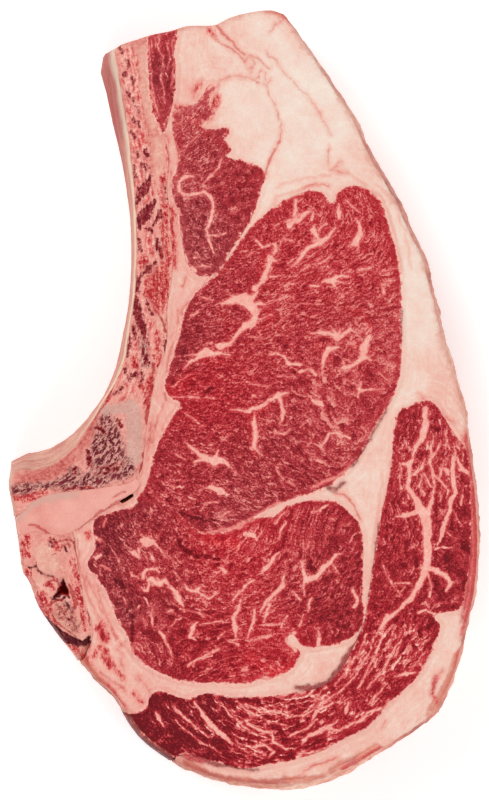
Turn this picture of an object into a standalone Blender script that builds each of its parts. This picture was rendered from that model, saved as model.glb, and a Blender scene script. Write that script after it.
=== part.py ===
"""Builds a dry-aged bone-in ribeye steak, one thick slice sawn across a rib of beef.

The slice lies flat. Its cut faces point up and down, and the tip of the rib points towards +Y.
Every muscle, bone and pad runs through the slice, so each is a prism that follows its outline on
the cut face and stops at the slice's side. The fat is what is left of the slice between them.
Outlines are drawn in millimetres on the upper cut face, about a point near the slice's middle.
The model is in metres, with its origin under the middle of its box.
"""

import math

import bmesh
import bpy
import numpy as np
from mathutils import Matrix, Vector

MM = 0.001

# Driving sizes, in metres. The fibres lean by GRAIN_LEAN from the upper face to the lower one
THICKNESS = 36 * MM
GAP = 0.3 * MM
FAT_SINK = 0.45 * MM
RIM_CHAMFER = 0.6 * MM
GRAIN_LEAN = Vector((-1.2 * MM, 1.0 * MM))
CUTTER_REACH = 4 * MM
WELD = 0.01 * MM

# How finely the side and the outlines are drawn: a spacing in millimetres, and counts
SIDE_SPACING = 3.4
SIDE_BANDS = 6
OUTLINE_STEPS = 3
ROUND_SEGMENTS = 20
ROUND_RINGS = 10

# Fat lump over the tail muscle, in millimetres
LUMP_MIDDLE = (-0.2, 92.5)
LUMP_RADII = (14.0, 18.0, 1.5)
LUMP_SINK = 1.1
LUMP_TURN = math.radians(8)

# Hollows in the chine bone and beside the pad, in millimetres
STAR_DEPTH = 9.0
STAR_TAPER = 0.45
SLIT_DEPTH = 5.0
SCOOP_MIDDLE = (-59.5, -73.0)
SCOOP_RADII = (9.5, 8.5, 5.0)
SCOOP_DEPTH = 1.5
CRACK_RADIUS = 0.55
BRUISE_RADIUS = 1.4

# Upper rim of the slice, clockwise: x, y, how far the side swells at mid height, how far its foot
# stands out
RIM = (
    (-43.2, 116.4, 0.6, 6.0), (-41.6, 118.0, 0.5, 3.0), (-37.0, 119.8, 0.5, 1.0),
    (-30.0, 122.0, 0.5, 0.5), (-23.0, 123.4, 0.6, 0.0), (-19.6, 124.6, 0.6, 0.0),
    (-9.5, 125.0, 0.6, 0.0), (-5.5, 127.2, 0.7, 0.0), (2.0, 129.2, 0.8, 0.0),
    (9.0, 129.8, 0.9, 0.0), (12.6, 128.6, 1.0, 0.0), (15.2, 124.9, 1.6, 0.0),
    (18.8, 119.0, 2.2, 0.0), (26.5, 107.0, 2.8, 0.0), (33.5, 96.0, 3.2, 0.0),
    (41.0, 80.5, 3.4, 0.0), (47.5, 69.0, 3.6, 0.0), (52.0, 59.5, 3.7, 0.0),
    (57.7, 47.5, 3.5, 0.0), (61.8, 33.0, 3.4, 0.0), (65.0, 19.0, 3.3, 0.0),
    (69.5, 5.5, 3.0, 0.0), (72.2, -5.0, 3.0, 0.0), (73.9, -16.0, 2.6, 0.0),
    (76.0, -32.0, 2.6, 0.0), (76.7, -50.0, 2.7, 0.0), (75.2, -66.0, 2.7, 0.0),
    (71.2, -81.0, 2.9, 0.0), (68.3, -92.5, 3.3, 0.0), (61.5, -103.5, 3.8, 0.0),
    (50.5, -111.7, 4.1, 0.0), (40.0, -118.0, 4.4, 0.0), (30.0, -123.4, 4.6, 0.0),
    (18.0, -127.0, 4.6, 0.0), (5.0, -126.6, 4.8, 0.0), (-8.0, -124.9, 4.5, 0.0),
    (-16.5, -122.0, 4.3, 0.0), (-25.0, -117.6, 3.8, 0.0), (-34.0, -110.8, 3.4, 0.0),
    (-42.0, -98.6, 3.2, 0.0), (-49.0, -91.6, 3.4, 0.0), (-56.0, -82.8, 3.4, 0.0),
    (-63.5, -73.4, 3.4, 0.0), (-68.0, -65.5, 3.2, 0.0), (-70.4, -60.2, 2.6, 0.0),
    (-73.0, -57.4, 2.0, 0.0), (-74.4, -47.0, 2.0, 0.5), (-76.2, -36.0, 2.0, 0.5),
    (-77.6, -27.5, 1.9, 1.0), (-76.6, -24.4, 1.5, 4.5), (-71.0, -23.9, 0.6, 6.0),
    (-65.0, -22.4, 0.5, 6.2), (-60.0, -19.2, 0.5, 5.8), (-55.6, -14.6, 0.5, 4.8),
    (-51.0, -7.7, 0.5, 3.4), (-46.5, 0.0, 0.5, 2.6), (-42.5, 7.0, 0.5, 3.2),
    (-40.0, 13.0, 0.5, 3.8), (-38.5, 22.0, 0.5, 3.6), (-37.2, 30.0, 0.5, 3.2),
    (-36.2, 40.0, 0.5, 3.2), (-35.8, 52.0, 0.5, 3.2), (-36.1, 62.0, 0.5, 3.4),
    (-36.9, 72.0, 0.5, 3.8), (-38.0, 84.0, 0.5, 4.8), (-39.6, 96.0, 0.5, 6.0),
    (-41.3, 107.0, 0.5, 6.6),
)

# Outlines, clockwise. Where a piece reaches the side, its outline runs on outside the slice, and
# where it meets a piece that is cut first, it runs on into that piece.
RIB_BONE = (
    (-33, 134), (-32.6, 118), (-32, 106), (-30.5, 96), (-28.2, 90), (-26, 84), (-25.6, 76),
    (-26.2, 71), (-25.4, 64), (-24.8, 55), (-24.2, 46), (-24.8, 38), (-26.2, 30), (-26, 24),
    (-26.8, 16), (-29.3, 10), (-30.6, 4), (-31.8, -3), (-33, -10), (-33.8, -18), (-35.2, -24.5),
    (-39, -27.6), (-46, -28.8), (-56, -30.3), (-65, -31.4), (-71, -34), (-75, -38), (-86, -41),
    (-94, -20), (-72, 6), (-60, 60), (-64, 130),
)
RIB_MUSCLE = (
    (-36, 134), (-35.4, 118), (-34.4, 108), (-32.8, 98), (-30.6, 92), (-27.4, 89.4),
    (-26.1, 92.5), (-25, 96.5), (-24, 101), (-23.3, 108), (-23.9, 115), (-23.8, 134),
)
CARTILAGE_PAD = (
    (-35.3, -27.5), (-42, -25), (-56, -27), (-66, -28), (-72, -31), (-76, -34), (-88, -36),
    (-88, -47), (-75, -45.2), (-70, -43.8), (-65, -44.6), (-60, -44.8), (-57, -43.6),
    (-54, -41.6), (-51, -39.4), (-47, -36.8), (-42, -34), (-38.6, -31.9), (-36, -29.6),
)
CHINE_BONE = (
    (-86, -43), (-72, -40.5), (-60, -41.5), (-57.3, -44.8), (-56.6, -50), (-55.6, -56),
    (-54.6, -62), (-53.3, -68), (-51.6, -73), (-50.9, -78), (-52.3, -83), (-55.5, -88),
    (-68, -92), (-84, -77), (-90, -58),
)
EYE_MUSCLE = (
    (5, 60), (9, 63.4), (14, 66.6), (19.5, 69), (24.5, 69.3), (27, 67), (28.4, 65.6), (30, 66),
    (31.6, 69.4), (36.5, 71.2), (41.5, 69.6), (45.3, 65.2), (47.6, 58), (50, 50), (51.6, 40),
    (51.8, 28), (52, 18), (51.2, 7), (48, -1), (43, -9), (38.6, -17.4), (33.5, -23.6),
    (26, -29), (17, -32.3), (7, -36.5), (-3, -42), (-9, -44.3), (-15, -44), (-20, -39.8),
    (-25.5, -35.2), (-32, -33.3), (-35.6, -33.6), (-33.6, -29.8), (-31.6, -25), (-30, -18.5),
    (-27.4, -12), (-24.4, -6.6), (-21.4, -1.2), (-25.2, 1.4), (-26.3, 4.4), (-25.2, 9),
    (-23.4, 15.5), (-21, 23.5), (-20.4, 27.5), (-17.8, 33), (-14, 37.6), (-9.5, 41.6),
    (-4, 48.8), (1, 56),
)
INNER_MUSCLE = (
    (-49.6, -39.8), (-46, -38.2), (-41, -36.8), (-37, -35.8), (-33, -31), (-24, -32),
    (-15, -39), (-7, -40), (1, -40.6), (5, -39.4), (10, -39.2), (13, -36.4), (18, -34.4),
    (24, -33.6), (30, -34.5), (34.5, -37.6), (38, -42), (39.2, -50), (39, -60), (38.8, -66),
    (39.4, -71.5), (37.6, -77), (32.5, -80.2), (25, -82), (19.4, -81.8), (17.2, -79.2),
    (15.8, -77.6), (13.8, -79.8), (15, -82.2), (18.2, -84), (17, -87.2), (14, -90.4),
    (10, -92.2), (5, -93), (0, -94.3), (-8, -94), (-18, -93.8), (-26, -91.6), (-33, -88),
    (-37.4, -83.4), (-38.9, -78.2), (-42, -74), (-44.5, -67), (-49, -59), (-52.2, -55),
    (-50.2, -51), (-49.6, -47), (-50.4, -43),
)
CAP_MUSCLE = (
    (52.6, -3.2), (55.5, -2.2), (59, -0.6), (62.5, -1), (66, -5.8), (70, -11.8), (73.4, -16.8),
    (74.8, -26), (75.2, -38), (74.8, -52), (73.4, -63), (71.2, -69.4), (67.5, -70.4),
    (63.8, -71.2), (62.8, -72.8), (64.8, -75), (63, -80.5), (60, -88), (55, -94.6),
    (48.5, -100.2), (44.4, -105), (40, -109.3), (33.5, -112.4), (27, -116), (18, -119.3),
    (8, -121.2), (0, -122.7), (-8, -121), (-16, -118.8), (-22, -118.2), (-28, -125),
    (-42, -120), (-48, -108), (-39.5, -105), (-35.5, -104.6), (-32.4, -102.4), (-31.4, -99),
    (-28.6, -97.4), (-23, -99.2), (-18, -100), (-13, -98), (-7, -99.2), (0, -99.4), (10, -98.8),
    (20, -97.3), (27, -95.2), (32, -90.5), (36.5, -82.4), (39.8, -75), (41.4, -66), (43.4, -53),
    (45.4, -40), (48, -28), (49.6, -16), (50.6, -7.5),
)
TAIL_MUSCLE = (
    (-23.7, 95.8), (-20, 97.6), (-16.4, 98.6), (-13.6, 102.2), (-10.4, 105), (-11.8, 101.2),
    (-11.9, 98), (-10.2, 95.4), (-12.8, 93.4), (-14.4, 91.2), (-10, 90.1), (-5.6, 90),
    (-6.8, 86.6), (-4.8, 83.4), (-6.6, 81.2), (-2.5, 79.8), (3.8, 78), (6.7, 74.9), (5.4, 71),
    (3.6, 65), (0.4, 57.6), (-4.8, 50.2), (-8.6, 43.6), (-11.5, 41.5), (-16, 41.9),
    (-19, 45.6), (-20.3, 50.5), (-21.2, 56), (-21.8, 62), (-23.4, 66.6), (-24.2, 71),
    (-22.6, 76.5), (-21.8, 81.5), (-23.8, 87.5), (-24, 92),
)
STAR_HOLE = (
    (-60.5, -59.4), (-60, -61.4), (-58.6, -62.8), (-58.2, -64.4), (-58.6, -66),
    (-60.6, -65.2), (-62.2, -65), (-64, -66), (-62.4, -63.8), (-62.6, -62), (-61.2, -61.6),
)
SLIT = ((-41.8, -34.1), (-39.8, -32.6), (-37.1, -31.5), (-38.6, -33.2))
CRACK = (
    (-76, -55), (-73, -55.7), (-71.3, -56), (-69.9, -55.2), (-69.2, -56.8), (-66.6, -58.2),
    (-63.5, -59.2),
)
BRUISE = ((-66.5, -71), (-63.6, -73.8), (-60, -77.4), (-56.8, -80.6), (-54, -81.8), (-51.6, -80))

# Surface colours as they look under white light, and roughness
FINISHES = {
    "fat": ((241, 213, 197), 0.5),
    "lean": ((172, 60, 66), 0.45),
    "bone": ((214, 152, 140), 0.5),
    "cartilage": ((234, 168, 155), 0.4),
}


def smooth_loop(points, spacing):
    """Points about spacing apart on a smooth closed line through the given ones.

    The first two numbers of a point are its place, and any others are carried along with it."""
    knots = np.array(points, float)
    count = len(knots)
    steps = np.sqrt(np.linalg.norm((np.roll(knots, -1, 0) - knots)[:, :2], axis=1))
    loop = []
    for i in range(count):
        before, start, end, after = (knots[(i + k) % count] for k in (-1, 0, 1, 2))
        step_before, step, step_after = steps[i - 1], steps[i], steps[(i + 1) % count]
        slope_in = (start - before) / step_before - (end - before) / (step_before + step)
        slope_in = (slope_in + (end - start) / step) * step
        slope_out = (end - start) / step - (after - start) / (step + step_after)
        slope_out = (slope_out + (after - end) / step_after) * step
        pieces = max(1, round(float(step**2) / spacing))
        for t in np.arange(pieces) / pieces:
            loop.append(
                (2 * t**3 - 3 * t**2 + 1) * start
                + (t**3 - 2 * t**2 + t) * slope_in
                + (3 * t**2 - 2 * t**3) * end
                + (t**3 - t**2) * slope_out
            )
    return np.array(loop)


def outward(loop):
    """Unit vectors that point out of a clockwise loop in the plane."""
    along = np.roll(loop, -1, 0)[:, :2] - np.roll(loop, 1, 0)[:, :2]
    along /= np.linalg.norm(along, axis=1)[:, None]
    return np.column_stack((-along[:, 1], along[:, 0]))


SIDE = smooth_loop(RIM, SIDE_SPACING)


def ring(height):
    """The slice's outline at a height in metres, as x and y in millimetres."""
    share = min(max(height / THICKNESS, 0.0), 1.0)
    swell = math.sqrt(1 - (2 * share - 1) ** 2)
    reach = SIDE[:, 2] * swell + SIDE[:, 3] * (1 - share)
    return SIDE[:, :2] + outward(SIDE) * reach[:, None]


def heights(low, high):
    """Heights for the side's rings, closer together towards the rims."""
    turns = [math.pi * k / SIDE_BANDS for k in range(SIDE_BANDS + 1)]
    return [low + (high - low) * (1 - math.cos(turn)) / 2 for turn in turns]


def box_middle():
    """Middle of the slice's box on the plane, in millimetres."""
    reach = np.concatenate([ring(height) for height in heights(0, THICKNESS)])
    return (reach.min(0) + reach.max(0)) / 2


MIDDLE = box_middle()


def place(x, y, z=0.0):
    """A drawn place, in millimetres, as a place in the model, in metres, at height z."""
    return Vector(((x - MIDDLE[0]) * MM, (y - MIDDLE[1]) * MM, z))


def collection(name):
    made = bpy.data.collections.new(name)
    bpy.context.scene.collection.children.link(made)
    return made


def material(name, finish):
    """A plain finish: its colour as seen, turned into light, and its roughness."""
    seen, roughness = FINISHES[finish]
    light = [((c / 255 + 0.055) / 1.055) ** 2.4 for c in seen]
    made = bpy.data.materials.new(name)
    made.use_nodes = True
    shader = made.node_tree.nodes["Principled BSDF"]
    shader.inputs["Base Color"].default_value = (*light, 1)
    shader.inputs["Roughness"].default_value = roughness
    shader.inputs["Metallic"].default_value = 0.0
    return made


def add_object(name, mesh, folder):
    made = bpy.data.objects.new(name, mesh)
    folder.objects.link(made)
    return made


def as_guide(cutter):
    cutter.hide_render = True
    cutter.display_type = "WIRE"
    return cutter


def mesh_from_curve(name, curve):
    """The mesh of a curve, its caps welded and its faces pointing out."""
    holder = bpy.data.objects.new(name, curve)
    bpy.context.scene.collection.objects.link(holder)
    bpy.context.view_layer.update()
    evaluated = holder.evaluated_get(bpy.context.evaluated_depsgraph_get())
    mesh = bpy.data.meshes.new_from_object(evaluated)
    mesh.transform(holder.matrix_world)
    bpy.data.objects.remove(holder)
    bpy.data.curves.remove(curve)
    work = bmesh.new()
    work.from_mesh(mesh)
    bmesh.ops.remove_doubles(work, verts=work.verts, dist=WELD)
    bmesh.ops.recalc_face_normals(work, faces=work.faces)
    work.to_mesh(mesh)
    work.free()
    mesh.name = name
    return mesh


def outline_curve(name, points, thickness):
    """A flat smooth outline through the points, with a thickness."""
    curve = bpy.data.curves.new(name, "CURVE")
    curve.dimensions = "2D"
    curve.fill_mode = "BOTH"
    curve.extrude = thickness / 2
    curve.resolution_u = OUTLINE_STEPS
    spline = curve.splines.new("BEZIER")
    spline.bezier_points.add(len(points) - 1)
    spline.use_cyclic_u = True
    for knot, point in zip(spline.bezier_points, points):
        knot.co = place(*point)
        knot.handle_left_type = "AUTO"
        knot.handle_right_type = "AUTO"
    return curve


def is_level(face):
    """True for a face of a prism's top or foot, and not for one of its walls."""
    return abs(face.normal.z) > abs(face.normal.x) + abs(face.normal.y)


def prism(name, points, low, high, grow=0.0, chamfer=0.0):
    """A mesh of an outline between two heights, grown sideways, its rims cut off by chamfer."""
    mesh = mesh_from_curve(name, outline_curve(name, points, high - low))
    work = bmesh.new()
    work.from_mesh(mesh)
    work.normal_update()
    for vert in work.verts:
        aside = Vector((vert.normal.x, vert.normal.y, 0)).normalized()
        vert.co += aside * grow + Vector((0, 0, (low + high) / 2))
        vert.co.xy += GRAIN_LEAN * (1 - vert.co.z / THICKNESS)
    if chamfer:
        rims = [edge for edge in work.edges if sum(map(is_level, edge.link_faces)) == 1]
        bmesh.ops.bevel(
            work, geom=rims, offset=chamfer, segments=1, affect="EDGES", clamp_overlap=True
        )
    work.to_mesh(mesh)
    work.free()
    return mesh


def slice_mesh(name, levels):
    """A loft of the slice's outlines at those heights, closed by a flat face at each end."""
    work = bmesh.new()
    rings = [[work.verts.new(place(x, y, level)) for x, y in ring(level)] for level in levels]
    for lower, upper in zip(rings, rings[1:]):
        for i in range(len(lower)):
            work.faces.new((lower[i - 1], lower[i], upper[i], upper[i - 1]))
    work.faces.new(rings[0])
    work.faces.new(list(reversed(rings[-1])))
    bmesh.ops.recalc_face_normals(work, faces=work.faces)
    mesh = bpy.data.meshes.new(name)
    work.to_mesh(mesh)
    work.free()
    return mesh


def ellipsoid(name, middle, radii, height, turn=0.0):
    """A rounded body with its middle at a height in metres, its place and radii in millimetres."""
    mesh = bpy.data.meshes.new(name)
    work = bmesh.new()
    bmesh.ops.create_uvsphere(
        work, u_segments=ROUND_SEGMENTS, v_segments=ROUND_RINGS, radius=1
    )
    stretch = Matrix.Diagonal([radius * MM for radius in radii]).to_4x4()
    stand = Matrix.Translation(place(*middle, height)) @ Matrix.Rotation(turn, 4, "Z")
    bmesh.ops.transform(work, matrix=stand @ stretch, verts=work.verts)
    work.to_mesh(mesh)
    work.free()
    return mesh


def groove(name, points, radius, height):
    """A round bar along a line on the cut face, to cut a groove with."""
    curve = bpy.data.curves.new(name, "CURVE")
    curve.dimensions = "3D"
    curve.bevel_depth = radius * MM
    curve.bevel_resolution = 1
    curve.use_fill_caps = True
    spline = curve.splines.new("POLY")
    spline.points.add(len(points) - 1)
    for knot, point in zip(spline.points, points):
        knot.co = (*place(*point, height), 1)
    return mesh_from_curve(name, curve)


def boolean(piece, other, operation):
    """One cut, joint or overlap of a piece with another body."""
    step = piece.modifiers.new(other.name, "BOOLEAN")
    step.operation = operation
    step.object = other
    step.solver = "EXACT"


def star_mesh():
    """The deep hole in the chine bone, narrower at its floor."""
    floor = THICKNESS - STAR_DEPTH * MM
    mesh = prism("star_hole", STAR_HOLE, floor, THICKNESS + CUTTER_REACH)
    middle = sum((Vector((*place(*point).xy, 0)) for point in STAR_HOLE), Vector()) / len(STAR_HOLE)
    for vert in mesh.vertices:
        if vert.co.z < THICKNESS - STAR_DEPTH * MM / 2:
            vert.co.xy = middle.xy + (vert.co.xy - middle.xy) * STAR_TAPER
    return mesh


def add_cutters(folder):
    """The bodies that shape the pieces, by name."""
    reach = [-CUTTER_REACH, *heights(0, THICKNESS), THICKNESS + CUTTER_REACH]
    meshes = {
        "side": slice_mesh("side", reach),
        "star_hole": star_mesh(),
        "slit": prism("slit", SLIT, THICKNESS - SLIT_DEPTH * MM, THICKNESS + CUTTER_REACH),
        "crack": groove("crack", CRACK, CRACK_RADIUS, THICKNESS),
        "bruise": groove("bruise", BRUISE, BRUISE_RADIUS, THICKNESS - SCOOP_DEPTH * MM / 2),
        "scoop": ellipsoid(
            "scoop", SCOOP_MIDDLE, SCOOP_RADII, THICKNESS + (SCOOP_RADII[2] - SCOOP_DEPTH) * MM
        ),
        "lump": ellipsoid(
            "lump", LUMP_MIDDLE, LUMP_RADII, THICKNESS - FAT_SINK - LUMP_SINK * MM, LUMP_TURN
        ),
    }
    return {name: as_guide(add_object(name, mesh, folder)) for name, mesh in meshes.items()}


CHINE_HOLLOWS = ("scoop", "star_hole", "crack", "bruise")

# Each through piece: outline, finish, the pieces that are cut first, and the hollows in it
THROUGH_PIECES = {
    "rib_bone": (RIB_BONE, "bone", (), ()),
    "rib_muscle": (RIB_MUSCLE, "lean", ("rib_bone",), ()),
    "cartilage_pad": (CARTILAGE_PAD, "cartilage", ("rib_bone",), ("slit",)),
    "chine_bone": (CHINE_BONE, "bone", ("cartilage_pad",), CHINE_HOLLOWS),
    "eye_muscle": (EYE_MUSCLE, "lean", (), ()),
    "inner_muscle": (INNER_MUSCLE, "lean", ("eye_muscle",), ()),
    "cap_muscle": (CAP_MUSCLE, "lean", (), ()),
    "tail_muscle": (TAIL_MUSCLE, "lean", (), ()),
}


def add_room(name, outline, folder):
    """The room a piece takes up, with the gap round it."""
    mesh = prism(name + "_room", outline, -CUTTER_REACH, THICKNESS + CUTTER_REACH, GAP)
    return as_guide(add_object(name + "_room", mesh, folder))


def add_through_piece(name, cutters, rooms, folder):
    outline, finish, cut_first, hollows = THROUGH_PIECES[name]
    piece = add_object(name, prism(name, outline, 0, THICKNESS, chamfer=RIM_CHAMFER), folder)
    boolean(piece, cutters["side"], "INTERSECT")
    for other in cut_first:
        boolean(piece, rooms[other], "DIFFERENCE")
    for hollow in hollows:
        boolean(piece, cutters[hollow], "DIFFERENCE")
    piece.data.materials.append(material(name, finish))


def add_fat(cutters, rooms, folder):
    """The fat between the pieces, a little below their faces, with its lump by the tail muscle."""
    fat = add_object("fat", slice_mesh("fat", heights(FAT_SINK, THICKNESS - FAT_SINK)), folder)
    boolean(fat, cutters["lump"], "UNION")
    for room in rooms.values():
        boolean(fat, room, "DIFFERENCE")
    boolean(fat, cutters["slit"], "DIFFERENCE")
    fat.data.materials.append(material("fat", "fat"))


def main():
    for old in list(bpy.data.objects):
        bpy.data.objects.remove(old)
    steak = collection("bone_in_ribeye")
    guides = collection("cutters")
    cutters = add_cutters(guides)
    rooms = {name: add_room(name, entry[0], guides) for name, entry in THROUGH_PIECES.items()}
    for name in THROUGH_PIECES:
        add_through_piece(name, cutters, rooms, steak)
    add_fat(cutters, rooms, steak)


main()
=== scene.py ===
import math
from itertools import product

import bpy
import numpy as np
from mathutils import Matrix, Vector, geometry
from mathutils.bvhtree import BVHTree
from mathutils.kdtree import KDTree


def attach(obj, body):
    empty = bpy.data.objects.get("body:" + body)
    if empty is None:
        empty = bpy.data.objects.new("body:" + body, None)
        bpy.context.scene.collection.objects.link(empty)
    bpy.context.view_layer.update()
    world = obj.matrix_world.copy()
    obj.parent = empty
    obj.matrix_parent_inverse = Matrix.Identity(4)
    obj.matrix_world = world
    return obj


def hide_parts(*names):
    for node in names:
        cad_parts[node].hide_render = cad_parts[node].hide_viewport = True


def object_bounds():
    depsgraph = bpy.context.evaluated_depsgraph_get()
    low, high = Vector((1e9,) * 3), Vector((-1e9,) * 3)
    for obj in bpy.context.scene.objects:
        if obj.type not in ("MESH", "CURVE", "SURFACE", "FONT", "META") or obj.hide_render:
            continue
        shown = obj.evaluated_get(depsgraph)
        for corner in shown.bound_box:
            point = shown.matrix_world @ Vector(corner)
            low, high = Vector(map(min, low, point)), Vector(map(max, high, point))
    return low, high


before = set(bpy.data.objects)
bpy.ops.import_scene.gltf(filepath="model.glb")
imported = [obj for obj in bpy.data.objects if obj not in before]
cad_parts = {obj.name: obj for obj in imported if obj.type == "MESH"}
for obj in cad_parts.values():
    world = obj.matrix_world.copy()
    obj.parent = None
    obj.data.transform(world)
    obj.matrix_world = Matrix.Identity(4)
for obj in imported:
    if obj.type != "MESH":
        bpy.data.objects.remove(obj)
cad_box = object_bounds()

# Everything below is in millimetres, drawn on the upper cut face: x to the right, y up, z out of the face.
MM = 0.001
# The drawing's origin is where the camera's axis meets the steak.
ORIGIN = np.array([0.354, 0.589])
THICKNESS = 36.0
# How far the fibres lean from the upper face to the back, how far they wander on the way, and how wide the
# bends are. Down the side their pattern is stretched.
GRAIN_LEAN = np.array([-1.2, 1.0])
GRAIN_WANDER = 2.4
GRAIN_BENDS = 11
GRAIN_STRETCH = [1, 1, 0.15]
# How far below the upper face its rim lies, and the same at the back
RIM_HEIGHT = 0.7
# Beside a neighbour, which is one closer than the reach, a piece grows sideways and its seam lies a little
# deep.
SEAM_REACH = 0.95
SEAM_GROWTH = 0.2
SEAM_DIP = 0.12
SEAM_SOFTENING = 6
# Room that is kept free for the relief
RELIEF_ROOM = 0.3
# The furthest that the side's outline moves from one ring to the next
RING_REACH = 0.7
# How far apart the points are on outlines that distances are measured to
OUTLINE_SPACING = 0.18
SHORE_SPACING = 0.6
# Shares of a face's spacing: how far its points are moved at random, and how close to the rim they may be
JITTER = 0.16
RIM_CLEARANCE = 0.55
# Heights from which a solid's surface is looked for
ABOVE = 60.0
BELOW = -20.0
# What stands for a long distance from meat, on the side
FAR_FROM_MEAT = 3.0

# Each piece: its material slot, the spacing of points on its upper face, its back and its rim, and the rings
# down its side.
PIECES = {
    "fat": ("fat", 0.465, 1.45, 0.66, 21),
    "eye_muscle": ("lean", 0.36, 0.65, 0.45, 7),
    "inner_muscle": ("lean", 0.34, 0.6, 0.45, 7),
    "cap_muscle": ("lean", 0.34, 0.6, 0.5, 18),
    "tail_muscle": ("lean", 0.34, 0.6, 0.45, 6),
    "rib_muscle": ("lean", 0.3, 0.5, 0.4, 14),
    "rib_bone": ("bone", 0.28, 0.55, 0.45, 26),
    "cartilage_pad": ("cartilage", 0.34, 0.6, 0.45, 22),
    "chine_bone": ("bone", 0.26, 0.5, 0.4, 30),
}

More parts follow.
